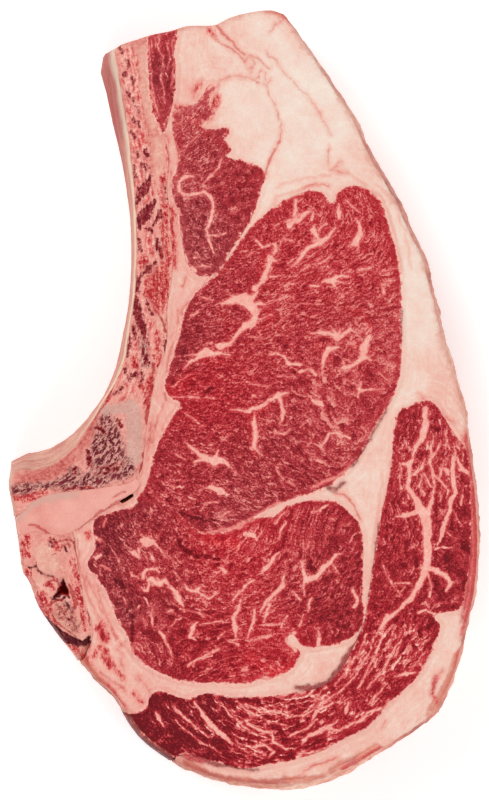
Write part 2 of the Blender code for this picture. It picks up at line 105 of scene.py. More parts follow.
# Marbling, read from the photograph. Each stroke starts with its width, then come its points as (x, y), or as
# (x, y, width) where the width changes.
EYE_FLECKS = [
    (1.2, (30.3, 57.7, 0.6), (28, 54.8), (25.5, 52.7, 2.4), (21, 50.6, 1.5), (19, 48.7, 1.6), (18.5, 47.2),
     (15.6, 43.9, 0.4)), (1.0, (22.8, 56.7, 1.8), (24.6, 53.7, 1.2)),
    (1.0, (23.4, 58.6, 0.4), (22.9, 56.3, 1.6)),
    (1.4, (21.9, 63.2, 0.7), (19.8, 62.1), (17.9, 60), (16, 59.2), (14.8, 58, 2.2)),
    (1.2, (16.9, 66.7), (16.9, 63.2), (16.7, 61.9), (16.6, 60, 0.7)),
    (0.9, (22.9, 62.7), (22.5, 61.3), (22, 60)), (0.8, (27, 59), (25.9, 58.1), (24.8, 56.7)),
    (1.5, (31.3, 65.5, 0.6), (31.3, 62.8), (31.3, 60.7)), (0.6, (33.8, 66.7), (36.2, 64.2), (37.8, 62.7)),
    (0.7, (36.6, 60.4), (38, 58.8)),
    (1.2, (34.7, 51, 0.7), (36.8, 52.4, 2.4), (38.4, 55.2, 1.8), (37.9, 59.3, 0.6)),
    (1.2, (9.7, 51.8), (10.2, 50.2), (9.5, 48.9)),
    (2.0, (10.4, 46.2, 0.8), (8.3, 47.4), (7.8, 44.5, 1.6), (6.4, 41), (5, 38.5, 1.2), (3, 37)),
    (0.7, (21, 44.7), (18.7, 43.3)), (0.6, (16, 46.8), (14.5, 45.3)), (0.6, (24.8, 47.4), (23.8, 46.6)),
    (0.6, (28.8, 47.9), (26.5, 46.8), (24.8, 45.6), (23.2, 45.1)), (0.4, (19, 47.7), (21.7, 48.1)),
    (0.6, (8.3, 41), (11.2, 41.4)), (0.5, (14, 55.4), (12, 52.9), (11.2, 50.8)),
    (0.6, (13.1, 53.5), (16, 52.9)), (0.6, (9.5, 57.7), (11.4, 58.8)),
    (0.7, (12.9, 38), (14.6, 38.8), (16.5, 38.4)), (1.0, (21.7, 38), (24.4, 38)),
    (1.2, (25.5, 39.4, 0.6), (27, 39.9), (29.2, 39.9, 2.0), (30.5, 41.4), (32.2, 41.6), (35.3, 41, 0.5)),
    (0.9, (29.2, 39.9, 1.6), (33.4, 39, 0.4)), (1.0, (29.2, 39.9, 1.5), (29.9, 38.4), (30.9, 36.8, 0.4)),
    (0.6, (29.2, 43), (28.6, 42)), (0.7, (35.5, 43.3), (34.9, 42.6)), (0.7, (27.6, 44.4), (28.1, 43.8)),
    (0.8, (38, 43), (42, 44)), (0.9, (45.8, 38.5), (46, 35.5)), (0.7, (46.5, 39.8), (50, 40)),
    (0.8, (14, 59.5), (17, 60.5), (18, 62)), (0.9, (3.5, 53.3), (5.5, 51), (8, 51.5)),
    # The large pale tree in the middle of the eye
    (2.0, (-8, 31.8, 0.8), (-5, 33), (-1.5, 33.6, 3.2), (2, 34), (4.5, 36.5, 0.8)),
    (1.6, (-5, 35, 0.7), (-3, 34.2), (0, 35.5, 1.0)),
    (2.4, (-1.5, 33), (1.5, 31.6, 3.4), (3.2, 29.5, 3.0), (3.4, 27.5, 2.2), (2, 25.5, 2.4), (0, 24.6),
     (-2.7, 21.5, 1.3), (-4.8, 18.8, 1.0), (-8, 17.7), (-10, 18.5, 0.5)),
    (1.3, (2, 31.8), (5, 32.2), (7.3, 32, 0.5)), (1.1, (3.6, 29.8), (5.5, 30.1, 0.5)),
    (0.8, (1.5, 23.4), (3, 25.5), (4.6, 26.4, 0.4)), (0.6, (8, 33), (11.5, 33.6), (15, 35)),
    (0.6, (5, 27), (9, 28.5)), (0.5, (1, 20.9), (6, 21)),
    (0.8, (8, 15), (11, 15.4), (13.3, 14.3), (14.7, 12.1, 1.8), (19, 11.8, 0.5)),
    (0.9, (18, 9.5), (22, 10), (24, 8.5)),
    (1.6, (31, 17.5, 0.9), (28, 17, 2.0), (26.6, 15), (26.2, 12.5, 1.2), (25.8, 10.5, 0.6)),
    (1.2, (31, 20.5, 2.0), (28, 22), (25, 22.6), (21.5, 22, 0.5)), (0.9, (31, 20.5, 1.6), (28.5, 24.5, 0.4)),
    (0.9, (31, 20.5, 1.6), (31.7, 23.5, 0.4)),
    (1.1, (31, 20.5, 1.6), (34.5, 23), (35.2, 24, 0.8), (37.7, 21.5, 0.4)),
    (1.8, (42, 21.5, 0.9), (41, 20.5), (39.7, 17, 2.7), (39.3, 14.5, 1.8), (36.5, 12, 1.2), (33.5, 11),
     (31.5, 10.5, 0.5)), (1.2, (39.3, 14.5, 1.6), (42, 13.3, 0.5)), (0.8, (38.3, 5.5), (38, 3.5), (37.5, 1)),
    (0.9, (38.5, 3), (42, 3.5), (46, 3.7)), (0.5, (44.8, 9), (48.3, 6)), (0.6, (36, 10), (37.2, 8.3)),
    (1.0, (22.5, 0), (25, -1.5, 2.0), (26, -2.2)),
    (1.4, (14, 2.3, 0.7), (11, 1.5, 2.3), (9, 0.2), (5, -2.3, 1.2), (1.5, -3.6), (-5, -3, 0.5)),
    (1.2, (11.8, 0, 1.6), (12.8, -4), (11.8, -8.5, 0.4)),
    (1.6, (3, -5, 0.8), (3.2, -8), (3.4, -11, 2.0), (3, -15.8, 1.4), (5.9, -18.5, 0.5)),
    (0.8, (3.2, -11), (5.3, -10.5, 0.4)), (0.8, (2.2, 1.3), (3.4, 1.3)), (0.5, (0.5, 6), (8, 4)),
    (0.5, (10.5, 8), (17, 7.3)), (0.9, (-16, 14), (-13.5, 15.8, 3.4), (-9, 15.6, 1.4), (-5, 15, 0.5)),
    (1.2, (-13.5, 15.4), (-16, 14), (-18.5, 12.5), (-20.5, 10.3, 0.5)),
    (0.8, (-15.5, 15.4), (-17, 15.2), (-20, 14.8, 0.4)), (0.5, (-24, 4.5), (-21, 7), (-18, 8.5)),
    (0.6, (-13, 18.8), (-11, 19)), (0.7, (-18, 28), (-15.5, 29.5)), (0.7, (-14, 34), (-11, 33.5)),
    (0.7, (-25, 1), (-18, 0.9), (-10, 0.5)),
    (1.2, (-20, -14, 0.5), (-17.5, -16.2), (-15, -18.5), (-12, -19.8, 2.2), (-10, -20.3, 3.4),
     (-7, -20.6, 2.0), (-4.5, -22.5, 0.6)), (1.2, (-17, -21, 0.6), (-15, -20), (-12, -20.4, 1.8)),
    (1.0, (-10, -19.5, 1.8), (-9, -16.8, 0.4)), (0.6, (-23, -18), (-20, -20)),
    (0.6, (-19.5, -4.7), (-15, -8)),
    (1.2, (-14, -29.3, 0.5), (-11, -29, 1.6), (-8.5, -30.3, 3.0), (-6.5, -31.2, 0.8)),
    (0.6, (-14.8, -37), (-13, -34.5), (-9, -34.2)), (0.6, (-10, -39), (-5, -37.5)),
    (0.8, (25.5, -16.5), (27, -13), (28.5, -11.3), (31, -11.2), (34.8, -12.5)), (0.6, (31, -15), (32, -13.5)),
    (0.6, (20.5, -15), (22, -14)), (0.6, (20.5, -17), (23, -18.5)), (0.7, (24, -20), (27.5, -21.5)),
    (0.7, (10, -11), (13, -11), (15, -10)), (0.5, (18.5, -9), (20.5, -6.5)), (0.5, (10.5, -23), (13, -26)),
    (0.5, (14, -27.5), (16.5, -28.5)),
]

INNER_FLECKS = [
    (1.5, (-51.4, -45.6), (-49.4, -46), (-47.2, -47, 0.4)), (1.3, (-49.7, -52.8), (-48.1, -51.4)),
    (0.7, (-50.2, -54.6), (-49.4, -55.6)), (0.6, (-47.6, -55.6), (-47, -56.6)),
    (0.6, (-48.6, -58), (-48, -58.6)),
    (2.6, (-34.6, -47.2, 1.6), (-32.8, -47.4, 3.4), (-31.2, -47.6, 2.0), (-28.3, -49.5, 0.5)),
    (0.9, (-33, -47, 1.6), (-34.5, -45, 0.4)), (0.9, (-33.4, -47.8, 1.6), (-34.5, -49, 0.4)),
    (1.4, (-38.6, -50.1, 0.6), (-36.7, -50.9, 1.6), (-35.4, -51.8), (-34.4, -52.8, 0.5)),
    (0.7, (-35.4, -49.5), (-35.2, -51.4)), (1.2, (-31.6, -51, 0.5), (-31, -52.8), (-30.2, -53.9, 0.8)),
    (1.1, (-34.4, -59.1), (-33.8, -58), (-32.7, -56.8), (-31, -56.2), (-29.8, -56.2), (-28.9, -57.4, 0.5)),
    (1.9, (-32.3, -59.9, 1.6), (-31, -60), (-29.8, -60.8), (-28.3, -60.8), (-26.8, -60, 1.5),
     (-24.8, -62.4, 1.0), (-23.3, -64.5), (-22.4, -66), (-20.6, -68.7, 0.5)),
    (0.9, (-26.8, -60), (-26.7, -58.8, 0.4)),
    (1.0, (-32.3, -60), (-32.1, -61.6), (-32.5, -63.1, 1.2), (-33.6, -63.2), (-35, -62.4, 0.5)),
    (0.9, (-38, -57.4), (-37.8, -58.5), (-35.7, -59.1, 0.5)), (0.8, (-21.4, -69.8), (-20.1, -70.6)),
    (0.9, (-25.4, -70.6), (-24.1, -70.4)),
    (1.3, (-20.3, -61.4, 0.5), (-19.3, -62.9), (-17.8, -63.5), (-16.2, -63.3), (-14.9, -62.2, 1.0)),
    (1.1, (-16, -63.3), (-14.1, -65), (-12.2, -66.4, 0.8), (-8.5, -63.3, 0.5)),
    (0.6, (-14.3, -66.2), (-13.2, -68.9)), (0.5, (-25.2, -52.2), (-23.1, -54.3)),
    (0.5, (-27.9, -49.9), (-26.8, -52.2), (-25.8, -53.6)), (0.5, (-23.9, -57), (-22, -59.1)),
    (0.6, (-15.8, -70.4), (-13.4, -72.5)), (0.5, (-21.4, -72.3), (-23.3, -74.4), (-25.2, -75.9)),
    (0.7, (-31.3, -70), (-31.5, -71.9), (-30.6, -75)), (0.5, (-40.5, -65.4), (-39.2, -68.9)),
    (0.5, (-33.4, -66.2), (-32.1, -68.7)), (0.5, (-34.4, -72.7), (-33.1, -74.8)),
    (0.6, (-35.5, -68.9), (-36.3, -70)), (0.7, (-44, -50), (-42, -54)), (1.6, (-7.5, -56.6), (-6.6, -57.4)),
    (0.8, (-4, -67), (-2, -64.5), (0, -62.5)),
    (1.3, (-16, -74, 0.8), (-17.5, -76, 1.9), (-18.5, -79, 1.2), (-16, -80, 0.5)),
    (0.8, (-15, -75), (-8, -73.5)),
    (1.2, (-1, -66, 0.5), (-2, -70), (-4, -73), (-3, -76, 2.0), (-3, -79, 0.7)),
    (0.7, (-9, -79.5), (-7, -77.5)), (0.7, (-5, -80), (-2, -82)),
    (0.8, (-28.5, -77), (-27, -79), (-25.5, -82), (-24.5, -85)),
    (0.9, (-19, -88.5), (-17, -87), (-13, -85.2), (-9, -83)),
    (1.6, (18.7, -54.2, 0.7), (20, -58.5, 1.6), (20.6, -59.6, 2.4), (23.5, -59), (25.6, -56.3, 1.8),
     (28.3, -54.2, 1.6), (30.4, -51.5, 1.2), (32.5, -51, 0.5)), (0.8, (29.5, -55), (31, -58)),
    (1.0, (19.9, -60), (19.5, -65.5, 0.4)), (0.6, (20, -50), (21.5, -47.5)),
    (1.3, (12, -50.5, 0.6), (9.5, -53), (7, -56, 1.5), (5.5, -57.5, 0.7)),
    (0.8, (13.5, -40.5), (12, -43), (11.5, -46.5)), (0.7, (10, -41), (13, -37.5)),
    (0.7, (22, -37.5), (25, -37), (28, -35)), (0.8, (28.4, -39.8), (29.6, -40.2)),
    (1.3, (13, -58.5, 0.7), (12.6, -62, 1.6), (10, -64.5, 1.4), (7, -67.5), (5.2, -70.7, 0.5)),
    (0.9, (16, -64), (18.5, -66.5)), (1.4, (36, -63), (37.5, -67), (36, -69)),
    (1.0, (22, -66), (21.3, -68.4), (20.7, -70.5)), (1.6, (0, -44.5), (3, -45.5), (4, -47, 0.8)),
    (1.0, (0, -62), (3, -60)), (1.0, (8.4, -68), (7, -71.5), (6, -74, 0.5)),
    (1.1, (3, -70), (3.2, -73), (2.2, -76), (0.8, -79.5, 0.5)), (0.8, (19.4, -71.5), (18, -75.5)),
    (0.7, (14, -72), (12.2, -76)), (2.2, (16.6, -77.6, 1.2), (14.4, -80.2, 2.2), (16.6, -83.2, 2.4)),
    (1.2, (24.4, -77, 0.8), (24.7, -79.5), (24.3, -82.4, 1.2)), (0.7, (3, -80), (9, -78.5)),
    (1.6, (6, -92.6), (8.4, -93.6)), (0.6, (-51.2, -53), (-50.4, -52), (-49.6, -51.2)),
]

CAP_FLECKS = [
    (2.2, (60.2, -3, 1.6), (60.2, -8, 2.2), (59.8, -10.4, 2.6), (58.6, -13.2, 2.2), (56.9, -15.7, 1.5),
     (56.2, -18.6, 0.9), (55.4, -20.6, 1.4), (54.4, -21.7, 2.0), (51.6, -21.6, 0.9)),
    (1.1, (54.8, -21.9, 1.6), (54.8, -23.8), (54.6, -26.3, 1.2), (54.4, -29.1, 1.5), (55.4, -30.7, 1.8),
     (56.4, -32.6, 2.0), (57.5, -33.9, 2.4), (58.9, -36.6, 3.2), (60.4, -39.8, 3.8), (60.8, -45, 3.0),
     (60.8, -52, 3.0), (60, -56, 2.6), (58.3, -61, 2.1), (55.5, -66, 2.0), (51, -70), (47.5, -72.6, 2.2),
     (45, -76, 0.9)),
    (1.1, (61, -38, 2.4), (62.1, -33.9, 1.4), (62.9, -31), (63.1, -27.2, 0.7), (62.5, -23.4, 0.7),
     (61.9, -20.5, 1.1), (62.3, -19.2), (64.6, -15.7, 0.8), (65.4, -13.8, 0.4)),
    (1.0, (60.2, -19.6, 0.7), (59, -22.4, 1.2), (56.7, -24.7, 1.4), (55.2, -25.3, 1.0)),
    (0.8, (63.1, -24.9), (64.8, -26.8), (66.5, -28.7), (67.6, -30.3), (67.3, -32.9, 0.4)),
    (1.5, (70.3, -17.1, 0.5), (69.6, -19.6, 1.4), (69.4, -23.4, 1.9), (69.6, -27.2, 1.9), (70, -31, 1.5),
     (68.6, -33.9, 1.6), (68, -36.8, 1.4), (66.6, -41, 1.6), (65.2, -45, 1.4), (64, -48.3, 0.8)),
    (1.4, (70.7, -19, 0.8), (72, -23), (74.1, -24.1)),
    (0.5, (66.7, -10.6), (67.3, -13.3), (68.2, -15.5), (68.6, -16.3)), (0.6, (70.3, -13.8), (71.1, -15.7)),
    (0.9, (62.5, -13.3), (61.7, -16.3), (62.1, -18)), (0.7, (65.5, -22.4), (65.4, -24.5), (64.8, -26.4)),
    (0.6, (66.5, -19.9), (65.9, -22)), (1.2, (66.7, -23), (67.6, -23.8), (67.8, -25.1)),
    (1.0, (59, -29.9), (59.6, -31.6)), (0.6, (58.5, -27.6), (58.3, -28.7)),
    (0.7, (59.8, -24.5), (61, -27.2), (62.1, -29.1)), (0.7, (65.2, -30.7), (65.4, -34.1)),
    (0.8, (52, -23), (51.6, -27.2, 0.5), (52, -29.5, 1.2)), (0.8, (54.4, -32), (54.4, -33.3)),
    (1.1, (52.9, -34.1), (53.3, -34.6)), (0.8, (72.4, -32), (72, -34.9)), (0.7, (54.9, -15.3), (55.1, -16.1)),
    (1.3, (50, -39, 0.6), (53, -38.5, 1.5), (57.5, -37.5, 1.8), (59, -38.2)),
    (1.8, (60, -56), (64, -57), (66.5, -58.5), (68.5, -61), (67, -64, 0.7)),
    (0.9, (68.5, -61), (71, -59.5, 0.4)), (0.6, (46, -55), (48, -60), (52, -65)), (0.9, (50, -61), (55, -61)),
    (0.8, (61, -58), (62, -62), (61.5, -66)), (0.7, (70, -38), (72, -42)), (0.6, (76, -40), (73, -41)),
    (0.8, (67, -44), (70, -46)), (0.8, (63, -50), (66, -49), (69, -49)),
    (2.6, (63.6, -71.6, 1.0), (67, -72.4, 2.6), (71, -72.6, 3.2)),
    (1.0, (58, -71), (60.5, -70.2), (63.5, -71.4, 1.4)), (0.6, (40.5, -78), (38, -84), (34, -90), (30, -95)),
    (0.7, (43, -79), (41, -85), (37, -91), (32, -97), (26, -101)),
    (0.7, (46, -78), (44.5, -83), (42, -88), (39, -93.5), (37.5, -96)), (0.9, (48.4, -80), (47, -83.5)),
    (0.7, (50, -82.5), (46, -90), (41, -96)), (0.6, (52, -80), (50, -86)), (0.6, (55, -82), (53, -88)),
    (1.3, (57.4, -90.4, 0.7), (54, -91.6, 1.5), (50.4, -92.2, 0.6)),
    (1.0, (47, -95, 0.6), (43, -99), (42, -101.5)), (1.0, (45, -103), (41, -104.5), (38, -107), (35, -108)),
    (1.2, (34.5, -101), (33.5, -104.5)), (1.0, (29, -101), (24, -104), (22.5, -107)),
    (1.3, (31, -107, 0.7), (26, -110), (21, -112), (19, -115, 0.6)),
    (0.9, (36, -108), (31, -110), (27, -109.5)),
    (0.8, (0, -101), (5, -104), (10, -103.5), (14, -105.5), (20, -105)),
    (1.1, (1, -108), (5, -110), (9, -111), (9.5, -114), (14, -116.5)),
    (0.9, (2, -116), (7, -115), (10, -117), (8, -119)), (0.8, (15, -112), (20, -110), (24, -107)),
    (1.0, (18, -118), (24, -117), (32, -115)), (1.5, (-30, -104, 0.8), (-28.5, -106), (-27, -109, 0.8)),
    (1.0, (-24, -102), (-20, -106), (-16, -109.5), (-12, -112.5)),
    (1.8, (-17, -100.5, 0.8), (-14, -105), (-11, -109), (-7, -112), (-4, -115, 0.8)),
    (0.8, (-8, -101), (-5, -105), (0, -109), (4, -112)),
    (0.7, (-3, -100.5), (2, -104.5), (8, -107.5), (14, -108.5)),
    (0.7, (-23, -107), (-19, -111), (-14, -114.5), (-8, -117.5)),
]

TAIL_FLECKS = [
    (2.4, (-10.2, 106), (-12.2, 104.6)),
    (1.2, (-17, 74.6, 0.6), (-20, 74.4), (-22, 72.5), (-21.8, 69.5), (-20, 68.3), (-17, 68.7),
     (-13.5, 69.3, 1.0), (-12, 68), (-10.5, 66, 0.9), (-10.5, 63), (-11.6, 59.6), (-12.8, 56.5, 1.0),
     (-12, 53), (-10.5, 49, 0.5)), (0.6, (-8, 80.5), (-8.8, 77.5), (-11, 75), (-15, 71)),
    (0.4, (-16, 87.8), (-20, 84)), (0.7, (-12.4, 55), (-9, 54.9), (-6, 55.6, 0.4)),
    (0.6, (-16.6, 44.2), (-14.4, 44.7, 0.9), (-12, 44.4, 0.5)), (0.6, (-16.9, 47.6), (-14.8, 47.9, 0.4)),
    # Beads of fat along its edge towards the rib
    (1.5, (-22, 57.4), (-21.8, 56)), (1.9, (-21.8, 52.8), (-21.4, 51.6)), (2.3, (-20.6, 48), (-20, 46.6)),
    (2.0, (-18, 44), (-17, 43.2)),
]

RIB_MUSCLE_FLECKS = [
    (0.5, (-28.6, 122), (-28.9, 118), (-27.6, 114.6), (-27.2, 111.4), (-28, 108.4), (-27.2, 104),
     (-26.8, 99)), (0.4, (-31.4, 120), (-30.8, 116)), (0.4, (-25.8, 119), (-25, 113.4), (-25.8, 110)),
    (0.4, (-26.6, 109.4), (-25.6, 107.4)), (0.4, (-30.8, 103), (-29.6, 98), (-28.6, 95)),
    (0.4, (-30, 121), (-29.6, 117.6)),
]

# Fold lines and cracks of all muscles: grooves whose darker colour is painted shade of the crease.
DARK_LINES = [
    (0.5, (-14.6, 0.7), (-13, 2.6), (-10.5, 4.2)), (0.5, (-26, -33), (-22, -37.5), (-18, -39.5), (-10, -40)),
    (0.6, (-22.5, -47.2), (-21, -49.2), (-18.7, -51.1), (-16.8, -52), (-12.2, -52.4), (-8, -53.5)),
    (0.5, (-39.3, -68.8), (-38, -72.2), (-37.6, -76), (-37.8, -80.5)), (0.5, (-43, -60), (-40, -62.4)),
    (1.4, (21.3, -53), (21.6, -55.6), (22.8, -56)),
]

# How much fine fat the flesh has at some places (x, y, richness).
EYE_RICHNESS = [
    (30, 55, 0.9), (44, 36, 1.1), (20, 31, 1.0), (44, 10, 1.1), (-14, 5, 0.5), (16, -25, 1.0),
    (-18, -25, 1.3),
]
INNER_RICHNESS = [
    (-30, -60, 1.0), (-40, -72, 0.7), (-14, -80, 1.3), (29, -62, 0.8), (8, -87, 1.2), (5, -50, 1.1),
]
CAP_RICHNESS = [
    (60, -10, 1.3), (70, -50, 0.8), (52, -55, 1.0), (45, -88, 1.7), (20, -108, 1.8), (-5, -110, 1.8),
    (-25, -108, 1.2),
]
TAIL_RICHNESS = [(-16, 90, 0.9), (-10, 60, 0.5)]
RIB_MUSCLE_RICHNESS = [(0, 0, 0.5)]

# How light the flesh is at some places (x, y, lightness), and how brown and dull (x, y, dullness).
EYE_TONES = [
    (30, 55, 0.03), (44, 36, 0.05), (20, 31, 0.0), (44, 17, 0.08), (-14, 5, -0.02), (-21, 6, -0.08),
    (-22.5, 15, -0.12), (16, -25, -0.08), (38, 0, 0.01), (5, 12, -0.03), (-18, -25, -0.07), (36, -15, 0.02),
    (0, 45, -0.02),
]
EYE_DULLNESS = [
    (30, 50, 0.05), (44, 17, 0.15), (16, -25, 0.2), (-14, 5, 0.0), (-22.5, 15, 0.25), (-20, -28, 0.15),
    (0, -38, 0.25),
]
INNER_TONES = [
    (-37, -55, -0.05), (-48, -52, -0.24), (-43, -62, -0.14), (-40, -70, -0.12), (-37, -77, -0.04),
    (-14, -80, -0.13), (29, -62, -0.14), (14, -52, -0.04), (8, -87, 0.02), (-5, -48, 0.02), (0, -66, -0.02),
]
INNER_DULLNESS = [
    (-46, -53, 0.35), (-42, -61, 0.35), (-40, -70, 0.4), (-35, -60, 0.12), (-34, -78, 0.15), (-14, -80, 0.05),
    (29, -62, 0.15), (8, -87, 0.0), (-5, -48, 0.0),
]
CAP_TONES = [
    (51, -50, -0.1), (70, -53, -0.18), (65, -15, -0.08), (10, -113, -0.23), (-21, -109, -0.35),
    (45, -85, -0.14), (35, -105, -0.1),
]
CAP_DULLNESS = [(51, -50, 0.1), (70, -53, 0.15), (10, -113, 0.05), (-21, -109, 0.14), (45, -85, 0.05)]
TAIL_TONES = [
    (-17, 58, -0.07), (-16, 83, -0.05), (-20, 94, 0.12), (-14, 93, 0.05), (-2, 68, -0.08), (-12, 45, -0.03),
    (-22, 80, 0.0),
]
TAIL_DULLNESS = [(-17, 58, 0.38), (-16, 83, 0.26), (-2, 68, 0.2)]
RIB_MUSCLE_TONES = [(-29, 122, 0.0), (-30, 109, -0.2), (-25.5, 103, -0.2), (-32, 101, 0.08), (-28, 94, 0.02)]
RIB_MUSCLE_DULLNESS = [(-29, 122, 0.2), (-29, 108, 0.35), (-28, 96, 0.25)]

# Lighter red zones of the muscles.
BRIGHT_STROKES = [
    (1.5, (35, 29.5), (38, 28.7), (40.5, 27), (42, 23.6)), (2.5, (3, -5), (2.5, -12), (3, -18)),
    (5, (-24, 3), (-19, 8)), (4, (-13, -46), (-3, -48)), (3, (2, -86), (9, -91), (16, -89)),
    (2.5, (-8, 29), (-4, 25), (-6, 21)), (2.5, (7, 31), (9, 27), (5, 23)), (2, (-14, 13), (-8, 13)),
    (2, (28, 14), (24, 19)), (2, (36, 19), (42, 16)), (1.5, (8, -2), (1, -6)), (2, (-36, -44), (-28, -45)),
    (2, (6, 48), (5, 42)), (1.6, (-18, 94), (-12, 88), (-4, 84)), (1.4, (7, 80), (5, 75), (-2, 72)),
    (1.4, (-22, 92), (-21, 84)),
]

# Pale fat between the muscles' bundles, broader and softer than the flecks.
PALE_STROKES = [
    (1.2, (-12, -44), (-5, -43), (-2, -42, 2.4), (0, -41), (10, -35), (20, -32), (30, -31)),
    (1.0, (-46.5, -39.5), (-47, -42)), (1.2, (-41, -36), (-38, -35.5)), (1.4, (-50, -46), (-48.5, -47)),
    (0.5, (-32, -29), (-30.5, -31)), (1.0, (7, -93), (11, -96)), (1.0, (-14, 93), (-12, 92)),
    (0.8, (-32, 118), (-31.4, 110), (-31, 102), (-29, 96)), (0.7, (-24.2, 120), (-23.6, 112), (-24.6, 104)),
    (1.2, (36, -22), (30, -26), (22, -29)), (1.2, (-48, -55), (-45, -57)),
]

# What the fat shows: how pink it is at some places (x, y, pinkness), its red veins, and its crevices, which
# are grooves painted dark red: partly the seams' own colour and partly painted shade.
FAT_PINKNESS = [
    (19, 103, 0.0), (8, 122, 0.12), (56, 30, 0.12), (43, -29, 0.32), (54, -102, 0.4), (-23, -95, 0.7),
    (-2, 96, 0.22), (-48, -69, 0.7), (-21, 44, 0.65), (-15, 114, 0.42), (-20, 100, 0.6), (-5, 118, 0.35),
    (24, 72, 0.35), (36, 68, 0.3), (48, 55, 0.22), (30, 88, 0.08), (40, 85, 0.4), (10, 75, 0.1), (5, 60, 0.3),
    (-10, 35, 0.65), (55, 5, 0.3), (52, -15, 0.4), (66, 0, 0.55), (45, -60, 0.5), (44, -72, 0.6),
    (25, -95, 0.5), (10, -96, 0.45), (-10, -95, 0.5), (-40, -84, 0.55), (-40, -95, 0.7), (-33, -100, 0.75),
    (-30, 20, 0.8), (-28, -10, 0.8), (-22, 65, 0.75), (-22, 90, 0.7), (-46, -55, 0.75), (-54, -48, 0.7),
    (76, -40, 0.9), (72, -75, 0.4), (62, -95, 0.5), (40, -114, 0.55), (0, -123, 0.6), (-20, -117, 0.8),
    (20, -122, 0.5), (66, -85, 0.35), (-45, -78, 0.65), (-31, -36, 0.7), (14, 128, 0.6), (44, -45, 0.4),
]
FAT_VEINS = [
    (0.5, (-12.5, 124.5), (-11, 121.5), (-9, 119.8), (-4, 117), (0, 113)),
    (0.6, (-9.5, 124.8, 1.0), (-6, 121, 0.8), (-2.5, 117.5), (0, 115)),
    (0.3, (2, 115), (4, 114), (6, 112.5), (8.5, 110.5)), (0.3, (2.2, 111), (1.5, 109)),
    (0.3, (3, 107.3), (4.5, 108), (5, 110)), (0.3, (7.2, 105.5), (8.5, 107)),
    (0.2, (0, 113), (1.5, 115), (3, 112.5), (1, 110.5)), (0.2, (5, 110), (7, 109), (6, 106)),
    (0.2, (-12, 100), (-8, 106.5), (-5, 108), (0, 107.8), (4, 106.3), (7, 104.5), (8, 102.5), (10, 98.5),
     (11, 95), (12.2, 92), (12.3, 89, 0.4), (11.5, 86, 0.6), (9.5, 83, 0.7), (8.3, 79.5, 0.8),
     (7, 75.5, 0.8)), (0.2, (7, 116), (10, 113.5), (15, 107.5), (20, 102), (25, 96), (28.5, 88.5)),
    (0.2, (28, 85), (27.5, 79)), (0.2, (32, 79.5), (30.5, 77.5), (28.5, 76.5), (34, 75.5)),
    (0.3, (13, 127.5), (10.5, 125), (8.5, 122.5)), (0.8, (12, 128.5), (15, 126)),
    (0.5, (-17, 101), (-16, 105), (-14, 107)), (0.3, (20, 71), (24, 72), (28, 71.3)),
    (0.2, (-42, -82.5), (-39.5, -80.5)), (0.2, (-43, -83), (-41, -85)), (0.2, (-41.5, -86), (-40.5, -90)),
    (0.2, (-38, -83), (-33, -88)), (0.2, (-36, -92), (-32, -97)), (0.4, (-48, -91), (-44, -94), (-40, -97)),
    (0.3, (-12, 39), (-16, 36), (-18.5, 32.5), (-21, 29.5)), (0.2, (-10, 43), (-8, 46)),
    (0.6, (-21, 38), (-19.5, 41)), (0.6, (30, -31), (33, -31.8), (35, -33.5), (38.5, -39.5)),
    (0.3, (49.6, -20.6), (47.7, -28.6), (46.4, -37)), (0.3, (15, -126.5), (24, -121.5), (31, -119.5)),
    (0.3, (47, -107), (46, -109)), (0.5, (64, -92), (62, -98), (65, -102)), (0.3, (63, -93), (66, -90)),
    (0.8, (71.5, -85), (72.5, -88)), (0.3, (-26, 88), (-24, 70), (-22.5, 55)),
    (0.3, (-56, -47), (-55, -55), (-52, -66), (-48, -74)), (0.2, (-50, -62), (-46, -72), (-43, -80)),
    (0.3, (40, 86), (45, 78)), (0.2, (-36.5, -31), (-33, -20), (-31, -8)), (0.2, (58, 2), (64, -3), (70, -8)),
    (0.5, (-42, -34.2), (-46.9, -36.7), (-52, -40.5), (-55.7, -43.5)), (0.4, (22, -122.3), (31, -119.6)),
]
# Thin sheets between layers of fat, seen edge on as soft pink lines.
FAT_SHEETS = [
    (0.5, (39.8, 71.1), (45.3, 67.9), (48.5, 60.8), (50.9, 50.5), (52.1, 43)),
    (0.4, (43.7, 71.9), (48.5, 67.9), (51.7, 60.8), (54, 52.9), (55.4, 44)),
    (0.6, (8, 64), (11, 68), (19, 70.8), (26, 71.6)), (0.5, (10, 71), (18, 73.8), (28, 74.6)),
    (0.5, (34, 76), (40, 72)), (0.4, (-22, 30), (-25, 16), (-27, 0), (-31, -14)),
    (0.4, (-53, -58), (-49, -68), (-44, -78), (-37, -86)),
    (0.5, (62, -84), (56, -94), (47, -103), (36, -111)), (0.4, (46, -24), (44.4, -36), (43.4, -48)),
]
# Grooves along seams and creases; their dark red is partly their own colour and partly painted shade.
FAT_CREVICES = [
    (0.4, (52.2, 30), (51.8, 22), (50.3, 8), (46.8, -4), (41.8, -13), (35.6, -22)),
    (0.9, (27.5, -29), (30, -30), (33, -27.5)),
    (0.4, (45, -41), (43.7, -48), (43, -56), (42, -62), (41, -70), (40, -76)),
    (0.8, (39.4, -76), (37.8, -79.6, 1.0), (36, -83, 1.6), (33.4, -87, 2.0), (30.4, -91, 2.0),
     (27.6, -94.2, 1.6), (24.6, -95.8, 1.9), (20.6, -96.4, 1.9), (16.8, -96, 1.0)),
    (0.4, (45, -104.5), (40, -108.5), (33, -112.5)),
    (2.0, (-21.4, -117.8), (-17, -119.4), (-12, -120.8, 1.3), (-6, -122.2, 0.7), (4, -123.6, 0.3)),
]
